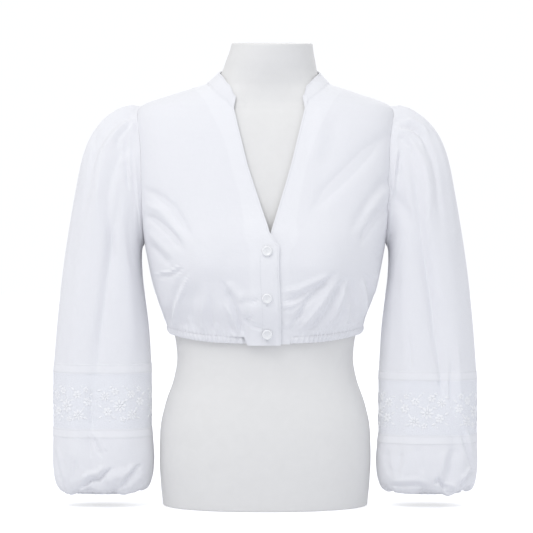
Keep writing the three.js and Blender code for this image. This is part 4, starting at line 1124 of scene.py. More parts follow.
def shaped_grid(
    name: str,
    place: Callable,
    columns: int,
    rows: int,
    masks: Callable | None = None,
    closed: bool = False,
    flip: bool = False,
) -> bpy.types.Mesh:
    """A grid of cloth moved on to a surface.

    Args:
        name: the mesh's name.
        place: gives points in millimetres for arrays of u and v.
        columns: spans along u.
        rows: spans along v.
        masks: gives named point values for the points.
        closed: the ends of u are joined.
        flip: the grid's own faces point inwards.

    Returns:
        The mesh, in metres, with a UV map in metres.
    """
    bm = bmesh.new()
    bmesh.ops.create_grid(bm, x_segments=columns, y_segments=rows, size=0.5)
    mesh = to_mesh(bm, name)
    flat = np.empty(3 * len(mesh.vertices))
    mesh.vertices.foreach_get("co", flat)
    i = np.rint((flat[0::3] + 0.5) * columns).astype(int)
    j = np.rint((flat[1::3] + 0.5) * rows).astype(int)
    u, v = np.meshgrid(np.linspace(0, 1, columns + 1), np.linspace(0, 1, rows + 1))
    points = place(u, v)
    mesh.vertices.foreach_set("co", (points[j, i] * MM).ravel())
    across = np.concatenate([[0], np.cumsum(np.linalg.norm(np.diff(points, axis=1), axis=-1).mean(0))]) * MM
    along = np.concatenate([[0], np.cumsum(np.linalg.norm(np.diff(points, axis=0), axis=-1).mean(1))]) * MM
    corners = np.empty(len(mesh.loops), int)
    mesh.loops.foreach_get("vertex_index", corners)
    chart = mesh.uv_layers.new(name="cloth")
    chart.uv.foreach_set("vector", np.stack([across[i], along[j]], -1)[corners].ravel())
    for key, values in (masks(points) if masks else {}).items():
        mesh.attributes.new(key, "FLOAT", "POINT").data.foreach_set("value", values[j, i].ravel())
    if flip:
        mesh.flip_normals()
    bm = bmesh.new()
    bm.from_mesh(mesh)
    if closed:
        bmesh.ops.remove_doubles(bm, verts=bm.verts, dist=WELD)
    for edge in bm.edges:
        edge.smooth = not edge.is_boundary
    bm.to_mesh(mesh)
    bm.free()
    return mesh


def add_piece(
    name: str,
    mesh: bpy.types.Mesh,
    material: bpy.types.Material,
    nodes: Sequence[str] = (),
    wall: float = 0.0,
) -> bpy.types.Object:
    """Adds a finished piece that rides on the part.

    Args:
        name: the piece's name.
        mesh: its mesh, in place.
        material: its material.
        nodes: the solids that it stands for.
        wall: thickness of the cloth in millimetres, laid inwards.

    Returns:
        The object.
    """
    mesh.materials.append(material)
    piece = bpy.data.objects.new(name, mesh)
    bpy.context.scene.collection.objects.link(piece)
    if wall:
        shell = piece.modifiers.new("wall", "SOLIDIFY")
        shell.thickness, shell.offset = wall * MM, -1
    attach(piece, "root")
    if nodes:
        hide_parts(*nodes)
    log.info("%s: %d points", name, len(mesh.vertices))
    return piece


def stamp(bm: bmesh.types.BMesh, mesh: bpy.types.Mesh, place: Matrix) -> None:
    """Adds a copy of a small mesh at a place.

    Args:
        bm: the mesh that gets it.
        mesh: the small mesh, about its own origin.
        place: where the copy goes.
    """
    copy = mesh.copy()
    copy.transform(place)
    bm.from_mesh(copy)
    bpy.data.meshes.remove(copy)


def to_mesh(bm: bmesh.types.BMesh, name: str) -> bpy.types.Mesh:
    """Turns a finished bmesh into a mesh and frees it.

    Args:
        bm: the finished bmesh.
        name: the mesh's name.

    Returns:
        The mesh.
    """
    mesh = bpy.data.meshes.new(name)
    bm.to_mesh(mesh)
    bm.free()
    return mesh


def unit_rod(sides: int) -> bpy.types.Mesh:
    """A rod of radius 1 and length 1 along Z, for stamping.

    Args:
        sides: how many sides it has.

    Returns:
        The rod's mesh.
    """
    bm = bmesh.new()
    bmesh.ops.create_cone(bm, cap_ends=True, segments=sides, radius1=1, radius2=1, depth=1)
    return to_mesh(bm, "unit_rod")


class Graph:
    """A short way to add nodes and links to a node tree."""

    def __init__(self, tree: bpy.types.NodeTree) -> None:
        """Takes the tree and empties it."""
        self.tree = tree
        tree.nodes.clear()

    def feed(self, node: bpy.types.Node, inputs: dict) -> None:
        """Links or sets inputs of a node.

        Args:
            node: the node.
            inputs: sockets to link or values to set, by input name or number.
        """
        for key, value in inputs.items():
            if isinstance(value, bpy.types.NodeSocket):
                self.tree.links.new(value, node.inputs[key])
            else:
                node.inputs[key].default_value = value

    def add(self, kind: str, inputs: dict | None = None, **settings: object) -> bpy.types.Node:
        """Adds a node.

        Args:
            kind: the node's type, without the word ShaderNode.
            inputs: what its inputs get, as for feed.
            settings: properties of the node.

        Returns:
            The node.
        """
        node = self.tree.nodes.new(kind if kind.startswith("NodeGroup") else "ShaderNode" + kind)
        for key, value in settings.items():
            setattr(node, key, value)
        self.feed(node, inputs or {})
        return node

    def math(self, operation: str, first: object, second: object = 0.0) -> bpy.types.NodeSocket:
        """Adds a Math node and gives its output."""
        return self.add("Math", {0: first, 1: second}, operation=operation).outputs[0]

    def mix(self, share: object, first: object, second: object) -> bpy.types.NodeSocket:
        """Adds a colour mix and gives its output."""
        return self.add("Mix", {0: share, 6: first, 7: second}, data_type="RGBA").outputs[2]


def new_group(name: str, outputs: dict[str, str]) -> tuple[bpy.types.NodeTree, Graph, bpy.types.Node]:
    """Makes a node group.

    Args:
        name: the group's name.
        outputs: the type of socket for each output's name.

    Returns:
        The tree, its graph and its output node.
    """
    tree = bpy.data.node_groups.new(name, "ShaderNodeTree")
    graph = Graph(tree)
    for label, kind in outputs.items():
        tree.interface.new_socket(label, in_out="OUTPUT", socket_type=kind)
    return tree, graph, graph.add("NodeGroupOutput")


def weave_group() -> bpy.types.NodeTree:
    """A plain weave of uneven yarns, from the cloth's own chart in metres.

    Returns:
        The group, with a height and the yarns' unevenness.
    """
    tree, graph, end = new_group("plain_weave", {"Height": "NodeSocketFloat", "Yarn": "NodeSocketFloat"})
    chart = graph.add("UVMap", uv_map="cloth").outputs[0]
    place = graph.add("TexCoord").outputs["Object"]
    wobble = graph.add("TexNoise", {"Vector": place, "Scale": 700.0, "Detail": 2.0}).outputs[0]
    wave = {"Vector": chart, "Scale": 620.0, "Distortion": 0.6, "Detail": 0.0}
    bands = [graph.add("TexWave", wave, bands_direction=way).outputs["Fac"] for way in ("X", "Y")]
    cross = graph.math("MAXIMUM", *bands)
    stretch = [
        graph.add("Mapping", {"Vector": chart, "Scale": scale}).outputs[0]
        for scale in ((60, 1400, 1), (1400, 60, 1))
    ]
    slubs = [graph.add("TexNoise", {"Vector": s, "Scale": 1.0, "Detail": 1.0}).outputs[0] for s in stretch]
    half, slub_share = 0.5, 0.8
    yarn = graph.math("MULTIPLY", graph.math("ADD", *slubs), half)
    slub_height = graph.math("MULTIPLY", yarn, slub_share)
    height = graph.math("ADD", graph.math("MULTIPLY", cross, wobble), slub_height)
    graph.feed(end, {"Height": height, "Yarn": yarn})
    return tree


def crumple_group() -> bpy.types.NodeTree:
    """Soft unevenness of worn cloth.

    Returns:
        The group, with a height.
    """
    tree, graph, end = new_group("soft_crumple", {"Height": "NodeSocketFloat"})
    place = graph.add("TexCoord").outputs["Object"]
    wide, small = (
        graph.add("TexNoise", {"Vector": place, "Scale": scale, "Detail": 2.0, "Distortion": bend}).outputs[0]
        for scale, bend in ((26.0, 0.5), (85.0, 0.8))
    )
    small_share = 0.3
    graph.feed(end, {"Height": graph.math("ADD", wide, graph.math("MULTIPLY", small, small_share))})
    return tree


@dataclass(frozen=True)
class ClothFinish:
    """The look of a woven piece. Depths are metres."""

    name: str
    colour: tuple[float, float, float, float]
    shade: tuple[float, float, float, float]
    doubled: tuple[float, float, float, float]
    doubled_share: float = 0.5
    roughness: float = 0.86
    sheen: float = 0.12
    weave_depth: float = 0.00012
    crumple_depth: float = 0.0016


@dataclass(frozen=True)
class NetFinish:
    """The look of the net: its threads, and how much its holes still cover. The holes' colour, shade, is
    painted shade of the dim inside seen through them.
    """

    name: str
    colour: tuple[float, float, float, float]
    # colour of the holes: painted shade of the sleeve's dim inside seen through the net
    shade: tuple[float, float, float, float]
    scale: float = 240.0
    thread_level: float = 0.6
    hole_cover: float = 0.72
    roughness: float = 0.8
    depth: float = 0.0002


@dataclass(frozen=True)
class ThreadFinish:
    """The look of a thread. Its twist is painted darker in the grooves as shade, by a share of its colour."""

    name: str
    colour: tuple[float, float, float, float]
    scale: float
    # share of the colour painted in the twist's grooves as shade
    groove_shade: float = 0.93
    roughness: float = 0.55
    sheen: float = 0.1
    depth: float = 0.00015


@dataclass(frozen=True)
class SolidFinish:
    """The look of a hard piece. Its glow is for the pale floor alone."""

    name: str
    colour: tuple[float, float, float, float]
    shade: tuple[float, float, float, float]
    roughness: float
    coat: float
    grain: float
    grain_depth: float
    glow: float = 0.0
    unseen_glow: float = 0.3
    unevenness: float = 0.06


COTTON = ClothFinish(
    "white_cotton", (0.84, 0.842, 0.868, 1), (0.80, 0.802, 0.832, 1), doubled=(0.862, 0.866, 0.89, 1)
)
SHELL = SolidFinish(
    "form_shell", (0.80, 0.795, 0.785, 1), (0.76, 0.755, 0.745, 1), 0.62, 0.05, 420.0, 0.00005
)
PEARL = SolidFinish("button_pearl", (0.93, 0.93, 0.93, 1), (0.80, 0.81, 0.83, 1), 0.22, 0.6, 160.0, 0.00006)
FLOOR = SolidFinish("pale_floor", (0.68, 0.69, 0.73, 1), (0.67, 0.68, 0.72, 1), 0.9, 0.0, 6.0, 0.0002, 0.6)
# The net's second colour is painted shade that fills its holes.
NET = NetFinish("lace_net", (0.89, 0.90, 0.937, 1), (0.83, 0.84, 0.88, 1))
EMBROIDERY = ThreadFinish("embroidery_thread", (0.955, 0.96, 0.98, 1), 900.0)
SEWING = ThreadFinish("sewing_thread", (0.81, 0.815, 0.84, 1), 2200.0)


def new_material(name: str) -> tuple[bpy.types.Material, Graph, bpy.types.Node]:
    """Makes a material with a Principled shader on its output.

    Args:
        name: the material's name.

    Returns:
        The material, its graph and its shader.
    """
    material = bpy.data.materials.new(name)
    material.use_nodes = True
    graph = Graph(material.node_tree)
    shader = graph.add("BsdfPrincipled")
    graph.add("OutputMaterial", {"Surface": shader.outputs[0]})
    return material, graph, shader


class Wardrobe:
    """The materials, each made once."""

    def __init__(self) -> None:
        """Makes the shared groups and all the materials."""
        self.weave, self.crumple = weave_group(), crumple_group()
        self.cotton = self.make_cotton(COTTON)
        self.net = self.make_net(NET)
        self.thread, self.stitches = (self.make_thread(finish) for finish in (EMBROIDERY, SEWING))
        self.shell, self.pearl, self.floor = (self.make_solid(finish) for finish in (SHELL, PEARL, FLOOR))

    def make_cotton(self, finish: ClothFinish) -> bpy.types.Material:
        """Woven cotton, a little lighter where it is doubled.

        Args:
            finish: the cloth's look.

        Returns:
            The material.
        """
        material, graph, shader = new_material(finish.name)
        weave = graph.add("Group", node_tree=self.weave)
        crumple = graph.add("Group", node_tree=self.crumple)
        doubled = graph.add("Attribute", attribute_name="doubled").outputs["Fac"]
        plain = graph.mix(weave.outputs["Yarn"], finish.shade, finish.colour)
        colour = graph.mix(graph.math("MULTIPLY", doubled, finish.doubled_share), plain, finish.doubled)
        graph.feed(shader, {"Base Color": colour, "Roughness": finish.roughness})
        graph.feed(shader, {"Sheen Weight": finish.sheen})
        soft = {"Height": crumple.outputs[0], "Strength": 0.55, "Distance": finish.crumple_depth}
        soft_normal = graph.add("Bump", soft).outputs[0]
        fine = {"Height": weave.outputs["Height"], "Strength": 0.3, "Distance": finish.weave_depth}
        graph.feed(shader, {"Normal": graph.add("Bump", {**fine, "Normal": soft_normal}).outputs[0]})
        return material

    def make_net(self, finish: NetFinish) -> bpy.types.Material:
        """Fine net: slanted threads with holes between them, the holes mostly filled with a darker colour as
        painted shade.

        Args:
            finish: the net's look.

        Returns:
            The material.
        """
        material, graph, shader = new_material(finish.name)
        chart = graph.add("UVMap", uv_map="cloth").outputs[0]
        threads = []
        for angle in (0.0, math.radians(60), math.radians(-60)):
            turned = graph.add("Mapping", {"Vector": chart, "Rotation": (0, 0, angle)}).outputs[0]
            wave = {"Vector": turned, "Scale": finish.scale, "Distortion": 0.15, "Detail": 0.0}
            level = graph.add("TexWave", wave).outputs["Fac"]
            threads.append(graph.math("GREATER_THAN", level, finish.thread_level))
        net = graph.math("MAXIMUM", graph.math("MAXIMUM", threads[0], threads[1]), threads[2])
        edge = graph.add("Attribute", attribute_name="doubled").outputs["Fac"]
        thread_cover = graph.math("MULTIPLY", net, 1 - finish.hole_cover)
        cover = graph.math("MAXIMUM", graph.math("ADD", thread_cover, finish.hole_cover), edge)
        # the holes get the darker colour: painted shade of the inside seen through them
        colour = graph.mix(net, finish.shade, finish.colour)
        graph.feed(shader, {"Base Color": colour, "Alpha": cover, "Roughness": finish.roughness})
        bump = graph.add("Bump", {"Height": net, "Strength": 0.4, "Distance": finish.depth})
        graph.feed(shader, {"Normal": bump.outputs[0]})
        return material

    def make_thread(self, finish: ThreadFinish) -> bpy.types.Material:
        """Thread with a fine twist, painted darker in its grooves as shade.

        Args:
            finish: the thread's look.

        Returns:
            The material.
        """
        material, graph, shader = new_material(finish.name)
        place = graph.add("TexCoord").outputs["Object"]
        slant = graph.add("Mapping", {"Vector": place, "Rotation": (0.5, 0.7, 0.6)}).outputs[0]
        wave = {"Vector": slant, "Scale": finish.scale, "Distortion": 1.2, "Detail": 1.0}
        twist = graph.add("TexWave", wave).outputs["Fac"]
        # painted shade: the twist's grooves are darker, following the bump
        groove_shade = tuple(finish.groove_shade * part for part in finish.colour[:3]) + (1,)
        colour = graph.mix(twist, groove_shade, finish.colour)
        graph.feed(shader, {"Base Color": colour, "Roughness": finish.roughness})
        graph.feed(shader, {"Sheen Weight": finish.sheen})
        bump = graph.add("Bump", {"Height": twist, "Strength": 0.35, "Distance": finish.depth})
        graph.feed(shader, {"Normal": bump.outputs[0]})
        return material

    def make_solid(self, finish: SolidFinish) -> bpy.types.Material:
        """A hard surface with a faint grain and cloudy colour.

        Args:
            finish: the surface's look.

        Returns:
            The material.
        """
        material, graph, shader = new_material(finish.name)
        place = graph.add("TexCoord").outputs["Object"]
        broad = {"Vector": place, "Scale": finish.grain / 8, "Detail": 3.0, "Distortion": 1.0}
        cloud = graph.add("TexNoise", broad).outputs[0]
        grain = graph.add("TexNoise", {"Vector": place, "Scale": finish.grain, "Detail": 4.0}).outputs[0]
        low, high = finish.roughness - finish.unevenness, finish.roughness + finish.unevenness
        rough = graph.add("MapRange", {"Value": grain, "To Min": low, "To Max": high}).outputs[0]
        bump = graph.add("Bump", {"Height": grain, "Strength": 0.3, "Distance": finish.grain_depth})
        colour = graph.mix(cloud, finish.shade, finish.colour)
        graph.feed(shader, {"Base Color": colour, "Roughness": rough, "Normal": bump.outputs[0]})
        graph.feed(shader, {"Coat Weight": finish.coat})
        if finish.glow:
            seen = graph.add("LightPath").outputs["Is Camera Ray"]
            glow = {"Value": seen, "To Min": finish.unseen_glow * finish.glow, "To Max": finish.glow}
            share = graph.add("MapRange", glow).outputs[0]
            graph.feed(shader, {"Emission Color": (1, 1, 1, 1), "Emission Strength": share})
        return material


@dataclass
class DressForm:
    """The limbless form with its flat neck cap and base. Lengths are millimetres."""

    columns: int = 128
    rows_between: int = 4
    tilt_from: float = 655.0
    rim: float = 1.5
    sharp_angle: float = math.radians(50)

    def build(self, wardrobe: Wardrobe) -> None:
        """Makes the form's smooth shell.

        Args:
            wardrobe: the materials.
        """
        levels = FORM[:, 0]
        rows = self.rows_between * (len(levels) - 1)

        def place(u: Array, v: Array) -> Array:
            """Points of the form, with its neck cap tilted.

            Args:
                u: place round the form.
                v: place from the base upwards.

            Returns:
                Points in millimetres.
            """
            z = np.interp(v * (len(levels) - 1), np.arange(len(levels)), levels)
            points = FIGURE.form_point(2 * math.pi * u, z)
            points[..., 2] += NECK_TILT * points[..., 1] * smoothstep(z, self.tilt_from, levels[-1])
            return points

        mesh = shaped_grid("form_shell", place, self.columns, rows, closed=True, flip=True)
        bm = bmesh.new()
        bm.from_mesh(mesh)
        rims = [edge for edge in bm.edges if edge.is_boundary]
        bmesh.ops.holes_fill(bm, edges=rims, sides=0)
        bmesh.ops.bevel(
            bm, geom=rims, offset=self.rim * MM, affect="EDGES", segments=3, profile=0.5, material=-1,
            offset_type="OFFSET",
        )
        for edge in bm.edges:
            edge.smooth = True
        bmesh.ops.recalc_face_normals(bm, faces=bm.faces)
        bm.to_mesh(mesh)
        bm.free()
        mesh.set_sharp_from_angle(angle=self.sharp_angle)
        add_piece("form_skin", mesh, wardrobe.shell, ["dress_form"])


def facing_mask(side: Side, points: Array) -> Array:
    """1 where a front is doubled by its facing, with a soft edge.

    Args:
        side: the wearer's side.
        points: points of the front.

    Returns:
        The share at each point.
    """
    x, z = points[..., 0], points[..., 2]
    table = RIGHT_EDGE if side is Side.RIGHT else LEFT_EDGE
    inner = np.interp(z, table[:, 1], table[:, 2])
    wide = np.interp(z, DOUBLED_WIDTH[:, 0], DOUBLED_WIDTH[:, 1])
    return 1 - smoothstep((x - inner) * side.value, wide - DOUBLED_EDGE[0], wide + DOUBLED_EDGE[1])


@dataclass
class Bodice:
    """Fronts, back, facings, collar and hem casing. Walls are millimetres."""

    wall: float = 0.9
    facing_wall: float = 0.7
    collar_wall: float = 1.7
    front_grid: tuple[int, int] = (124, 150)
    back_grid: tuple[int, int] = (190, 105)
    collar_grid: tuple[int, int] = (240, 12)
    casing_grid: tuple[int, int] = (1130, 10)
    facing_grid: tuple[int, int] = (14, 120)
    panels: dict[Side, Callable] = field(default_factory=dict)

    def build(self, wardrobe: Wardrobe) -> None:
        """Makes the bodice's pieces of cloth.

        Args:
            wardrobe: the materials.
        """
        cotton = wardrobe.cotton
        for side in Side:
            panel = front_panel(side)
            self.panels[side] = panel
            node = f"front_{side.label}"
            mesh = shaped_grid(
                node, panel, *self.front_grid,
                masks=lambda points: {"doubled": facing_mask(side, points)}, flip=side is Side.RIGHT,
            )
            piece = add_piece(f"cloth_{node}", mesh, cotton, [node], self.wall)
            self.add_facing(side, wardrobe)
        mesh = shaped_grid("back", back_panel(), *self.back_grid, flip=True)
        piece = add_piece("cloth_back", mesh, cotton, ["back"], self.wall)
        mesh = shaped_grid("stand_collar", collar_points, *self.collar_grid, flip=True)
        piece = add_piece("cloth_collar", mesh, cotton, ["stand_collar"], self.collar_wall)
        mesh = shaped_grid("hem_casing", casing_points, *self.casing_grid, flip=True)
        piece = add_piece("cloth_casing", mesh, cotton, ["hem_casing"], self.wall)

    def add_facing(self, side: Side, wardrobe: Wardrobe) -> None:
        """Makes the facing inside one front edge.

        Args:
            side: the wearer's side.
            wardrobe: the materials.
        """
        panel, depth = self.panels[side], -(WALL + FACING_GAP)

        def place(u: Array, v: Array) -> Array:
            """Points of the facing, under the panel.

            Args:
                u: place across the facing.
                v: place from the hem up to the collar's corner.

            Returns:
                Points in millimetres.
            """
            v = v * CORNER_ROW
            wide = SmoothCurve(FACING_WIDTH[:, 0], FACING_WIDTH[:, 1])(v[:, 0])
            share = width_shares(panel, v[:, 0], wide)[:, None]
            return panel(u * share, v, depth)

        node = f"facing_{side.label}"
        mesh = shaped_grid(node, place, *self.facing_grid, flip=side is Side.RIGHT)
        piece = add_piece(f"cloth_{node}", mesh, wardrobe.cotton, [node], self.facing_wall)
        f"cloth_front_{side.label}"


@dataclass
class Sleeve:
    """One long sleeve with its lace band and cuff. Walls and overlaps are millimetres."""

    side: Side
    wall: float = 0.9
    net_wall: float = 0.3
    cuff_wall: float = 1.4
    upper_grid: tuple[int, int] = (180, 160)
    net_grid: tuple[int, int] = (180, 26)
    lower_grid: tuple[int, int] = (220, 90)
    cuff_grid: tuple[int, int] = (384, 8)
    crowding: float = 0.05
    net_start: float = 0.05
    border: tuple[float, float] = (2.0, 3.0)
    shape: SleeveShape = field(init=False)

    def __post_init__(self) -> None:
        """Works out the sleeve's surfaces."""
        self.shape = SleeveShape(self.side)

    def strip_mask(self, points: Array) -> dict[str, Array]:
        """The doubled strips beside the band."""
        return {"doubled": np.clip(self.shape.strips(points[..., 2]) / STRIP_RISE, 0, 1)}

    def border_mask(self, points: Array) -> dict[str, Array]:
        """The band's borders, where the net is doubled."""
        z, (near, far) = points[..., 2], self.border
        top = smoothstep(z, self.shape.top - far, self.shape.top - near)
        bottom = 1 - smoothstep(z, self.shape.bottom + near, self.shape.bottom + far)
        return {"doubled": np.maximum(top, bottom)}

    def upper(self, u: Array, v: Array) -> Array:
        """The upper sleeve, with its rows closer at both ends."""
        return self.shape.upper(u, v - self.crowding * np.sin(2 * math.pi * v))

    def net(self, u: Array, v: Array) -> Array:
        """The lace band, which starts just over both edges."""
        top, bottom = self.shape.top - self.net_start, self.shape.bottom + self.net_start
        return self.shape.band(2 * math.pi * u, top + (bottom - top) * v)

    def build(self, wardrobe: Wardrobe) -> None:
        """Makes the sleeve's pieces of cloth and its embroidery.

        Args:
            wardrobe: the materials.
        """
        side, cotton, name = self.side, wardrobe.cotton, self.side.label
        round_it = {"closed": True, "flip": side is Side.RIGHT}
        node = f"sleeve_{name}"
        mesh = shaped_grid(node, self.upper, *self.upper_grid, masks=self.strip_mask, **round_it)
        piece = add_piece(f"cloth_{node}", mesh, cotton, [node], self.wall)
        node = f"lace_band_{name}"
        mesh = shaped_grid(node, self.net, *self.net_grid, masks=self.border_mask, **round_it)
        lace = add_piece(f"net_band_{name}", mesh, wardrobe.net, [node], self.net_wall)
        node = f"lower_sleeve_{name}"
        mesh = shaped_grid(node, self.shape.hanging, *self.lower_grid, masks=self.strip_mask, **round_it)
        lower = add_piece(f"cloth_{node}", mesh, cotton, [node], self.wall)
        node = f"cuff_{name}"
        mesh = shaped_grid(node, lambda u, v: cuff_points(side, u, v), *self.cuff_grid, **round_it)
        cuff = add_piece(f"cloth_{node}", mesh, cotton, [node], self.cuff_wall)
        Embroidery(self.shape).build(wardrobe)

    def ring(self, z: float) -> Array:
        """Points of the sleeve at one height, all round.

        Args:
            z: the height.

        Returns:
            A closed row of points, in millimetres.
        """
        below = z < self.shape.bottom
        columns, rows = 301, 60
        down = np.linspace(0, 0.5, rows) if below else np.linspace(0.7, 1, rows)
        u, v = np.meshgrid(np.linspace(0, 1, columns), down)
        points = (self.shape.hanging if below else self.shape.upper)(u, v)
        return np.array([
            [np.interp(-z, -line[:, 2], line[:, axis]) for axis in range(3)]
            for line in np.moveaxis(points, 1, 0)
        ])


@dataclass(frozen=True)
class Petal:
    """One padded leaf or petal in the band's chart: place, turn, size and how pointed it is."""

    along: float
    up: float
    turn: float
    length: float
    width: float
    point: float


@dataclass
class Embroidery:
    """Flowers, leaves and dots worked on a lace band, in millimetres of its chart."""

    shape: SleeveShape
    repeats: int = 5
    lift: float = 0.55
    raised: float = 0.25
    lowered: float = 3.0
    spread: tuple[float, float] = (1.07, 1.18)
    starts: tuple[float, float] = (0.35, 0.05)
    leaf_size: tuple[float, float] = (8.0, 3.0)
    dot_size: float = 2.6

    def flower(self, x: float, y: float, count: int, reach: float, wide: float, point: float) -> list[Petal]:
        """One flower's petals and its eye.

        Args:
            x: place of its middle along the band.
            y: place of its middle up the band.
            count: how many petals it has.
            reach: from its middle to the petals' tips.
            wide: a petal's width.
            point: how pointed a petal is.

        Returns:
            The petals.
        """
        away, long, eye, turned = 0.6 * reach, 0.85 * reach, 0.42 * reach, 0.15
        turns = [2 * math.pi * (k + turned) / count for k in range(count)]
        ring = [Petal(x + away * math.cos(a), y + away * math.sin(a), a, long, wide, point) for a in turns]
        return ring + [Petal(x, y, 0, eye, eye, 0)]

    def motif(self, start: float, pitch: float, middle: float) -> list[Petal]:
        """One repeat: star and round flowers with leaves and dots between them.

        Args:
            start: place of its middle along the band.
            pitch: length of a repeat.
            middle: height of its middle.

        Returns:
            Its petals, leaves and dots.
        """
        def at(share: float, rise: float) -> tuple[float, float]:
            """A place of the motif on the band."""
            return start + share * self.spread[0] * pitch, middle + rise * self.spread[1]

        petals = [petal for share, rise, *made in FLOWERS for petal in self.flower(*at(share, rise), *made)]
        petals += [Petal(*at(share, rise), turn, *self.leaf_size, 1.0) for share, rise, turn in LEAVES]
        return petals + [Petal(*at(*dot), 0, self.dot_size, self.dot_size, 0) for dot in DOTS]

    def leaf(self, point: float) -> bpy.types.Mesh:
        """One padded leaf of unit size.

        Args:
            point: how pointed it is, from 0 for a round one.

        Returns:
            The leaf's mesh.
        """
        bm = bmesh.new()
        bmesh.ops.create_uvsphere(bm, u_segments=8, v_segments=6, radius=1)
        for vert in bm.verts:
            vert.co.y *= (1 - min(1, abs(vert.co.x)) ** 1.5) ** (0.5 * point)
        return to_mesh(bm, "leaf")

    def build(self, wardrobe: Wardrobe) -> None:
        """Makes the band's embroidery as one piece.

        Args:
            wardrobe: the materials.
        """
        shape, name = self.shape, f"embroidery_{self.shape.side.label}"
        middle = (shape.top + shape.bottom) / 2 - self.lowered
        shift = dict(zip(Side, self.starts))[shape.side]
        turns = np.linspace(0, 2 * math.pi, 721)
        ring = shape.band(turns, 0 * turns + middle)
        lengths = np.concatenate([[0], np.cumsum(np.linalg.norm(np.diff(ring, axis=0), axis=-1))])
        pitch = lengths[-1] / self.repeats
        front = np.interp(math.pi / 2, turns, lengths)
        bm = bmesh.new()
        leaves: dict[float, bpy.types.Mesh] = {}
        for k in range(self.repeats):
            for petal in self.motif(front + (k + shift) * pitch, pitch, middle):
                if petal.point not in leaves:
                    leaves[petal.point] = self.leaf(petal.point)
                place = Matrix.Translation((petal.along, petal.up, 0)) @ Matrix.Rotation(petal.turn, 4, "Z")
                place @= Matrix.Diagonal((petal.length / 2, petal.width / 2, self.lift, 1))
                stamp(bm, leaves[petal.point], place)
        mesh = to_mesh(bm, name)
        flat = np.empty(3 * len(mesh.vertices))
        mesh.vertices.foreach_get("co", flat)
        along, up, out = flat.reshape(-1, 3).T
        turn = np.interp(along % lengths[-1], lengths, turns)
        mesh.vertices.foreach_set("co", (shape.band(turn, up, out + self.raised) * MM).ravel())
        mesh.shade_smooth()
        add_piece(name, mesh, wardrobe.thread)


@dataclass
class Stitching:
    """Rows of stitches along the edges and the strips beside the lace, in millimetres."""

    pitch: float = 3.0
    length: float = 2.3
    radius: float = 0.24
    clear: float = 0.12
    edge_row: float = 2.5
    placket_row: float = 27.0
    placket_rows_end: float = V_ROW - 0.06
    collar_rows: tuple[float, float] = (0.12, 0.9)
    strip_rows: tuple[float, float] = (2.0, 12.5)
    rod: bpy.types.Mesh = field(default_factory=lambda: unit_rod(6))

    def sew(self, bm: bmesh.types.BMesh, path: Array, outward: Array) -> None:
        """Adds a row of stitches.

        Args:
            bm: the mesh that gets them.
            path: points of the row, in millimetres.
            outward: outward directions at the points.
        """
        run = np.concatenate([[0], np.cumsum(np.linalg.norm(np.diff(path, axis=0), axis=-1))])
        for start in np.arange(0, run[-1] - self.length, self.pitch):
            ends = [
                Vector([np.interp(start + far, run, path[:, k]) for k in range(3)])
                for far in (0, self.length)
            ]
            out = Vector([np.interp(start, run, outward[:, k]) for k in range(3)]).normalized()
            way = ends[1] - ends[0]
            place = Matrix.Translation(((ends[0] + ends[1]) / 2 + out * self.clear) * MM)
            place @= way.to_track_quat("Z", "Y").to_matrix().to_4x4()
            thick = self.radius * MM
            stamp(bm, self.rod, place @ Matrix.Diagonal((thick, thick, way.length * MM, 1)))

    def add(self, name: str, rows: Sequence[tuple[Array, Array]], wardrobe: Wardrobe) -> None:
        """Makes one piece of several rows.

        Args:
            name: the piece's name.
            rows: points and outward directions of each row.
            wardrobe: the materials.
        """
        bm = bmesh.new()
        for path, outward in rows:
            self.sew(bm, path, outward)
        add_piece(name, to_mesh(bm, name), wardrobe.stitches)

    def sew_front(self, side: Side, panel: Callable, wardrobe: Wardrobe) -> None:
        """Sews along a front's edge, and on the right one along the placket's seam too.

        Args:
            side: the wearer's side.
            panel: the front's surface.
            wardrobe: the materials.
        """
        rising = np.linspace(0.004, CORNER_ROW - 0.002, 260)
        lines = [(self.edge_row, rising)]
        if side is Side.RIGHT:
            lines.append((self.placket_row, rising[rising < self.placket_rows_end]))
        rows = []
        for wide, v in lines:
            share = width_shares(panel, v, np.full_like(v, wide))
            points = panel(share, v)
            rows.append((points, panel(share, v, 1.0) - points))
        self.add(f"topstitch_front_{side.label}", rows, wardrobe)

    def sew_collar(self, wardrobe: Wardrobe) -> None:
        """Sews along the collar's lower and upper edges.

        Args:
            wardrobe: the materials.
        """
        u, reach = np.linspace(0.012, 0.988, 400), 0.08
        rows = []
        for v in self.collar_rows:
            points = collar_points(u, 0 * u + v)
            across = np.gradient(points, axis=0)
            up = collar_points(u, 0 * u + min(1, v + reach)) - collar_points(u, 0 * u + v - reach)
            rows.append((points, np.cross(up, across)))
        self.add("topstitch_collar", rows, wardrobe)

    def build(self, bodice: Bodice, sleeves: Sequence[Sleeve], wardrobe: Wardrobe) -> None:
        """Sews the fronts, the collar and the strips beside the lace bands.

        Args:
            bodice: the bodice, with its fronts built.
            sleeves: both sleeves.
            wardrobe: the materials.
        """
        for side, panel in bodice.panels.items():
            self.sew_front(side, panel, wardrobe)
        self.sew_collar(wardrobe)
        for sleeve in sleeves:
            shape, rows = sleeve.shape, []
            middle = np.array([shape.side.value * COLUMN_MIDDLE, COLUMN_Y, 0])
            for edge, way in ((shape.top, 1), (shape.bottom, -1)):
                for row in self.strip_rows:
                    ring = sleeve.ring(edge + way * row)
                    rows.append((ring, (ring - middle) * (1, 1, 0)))
            self.add(f"topstitch_sleeve_{shape.side.label}", rows, wardrobe)


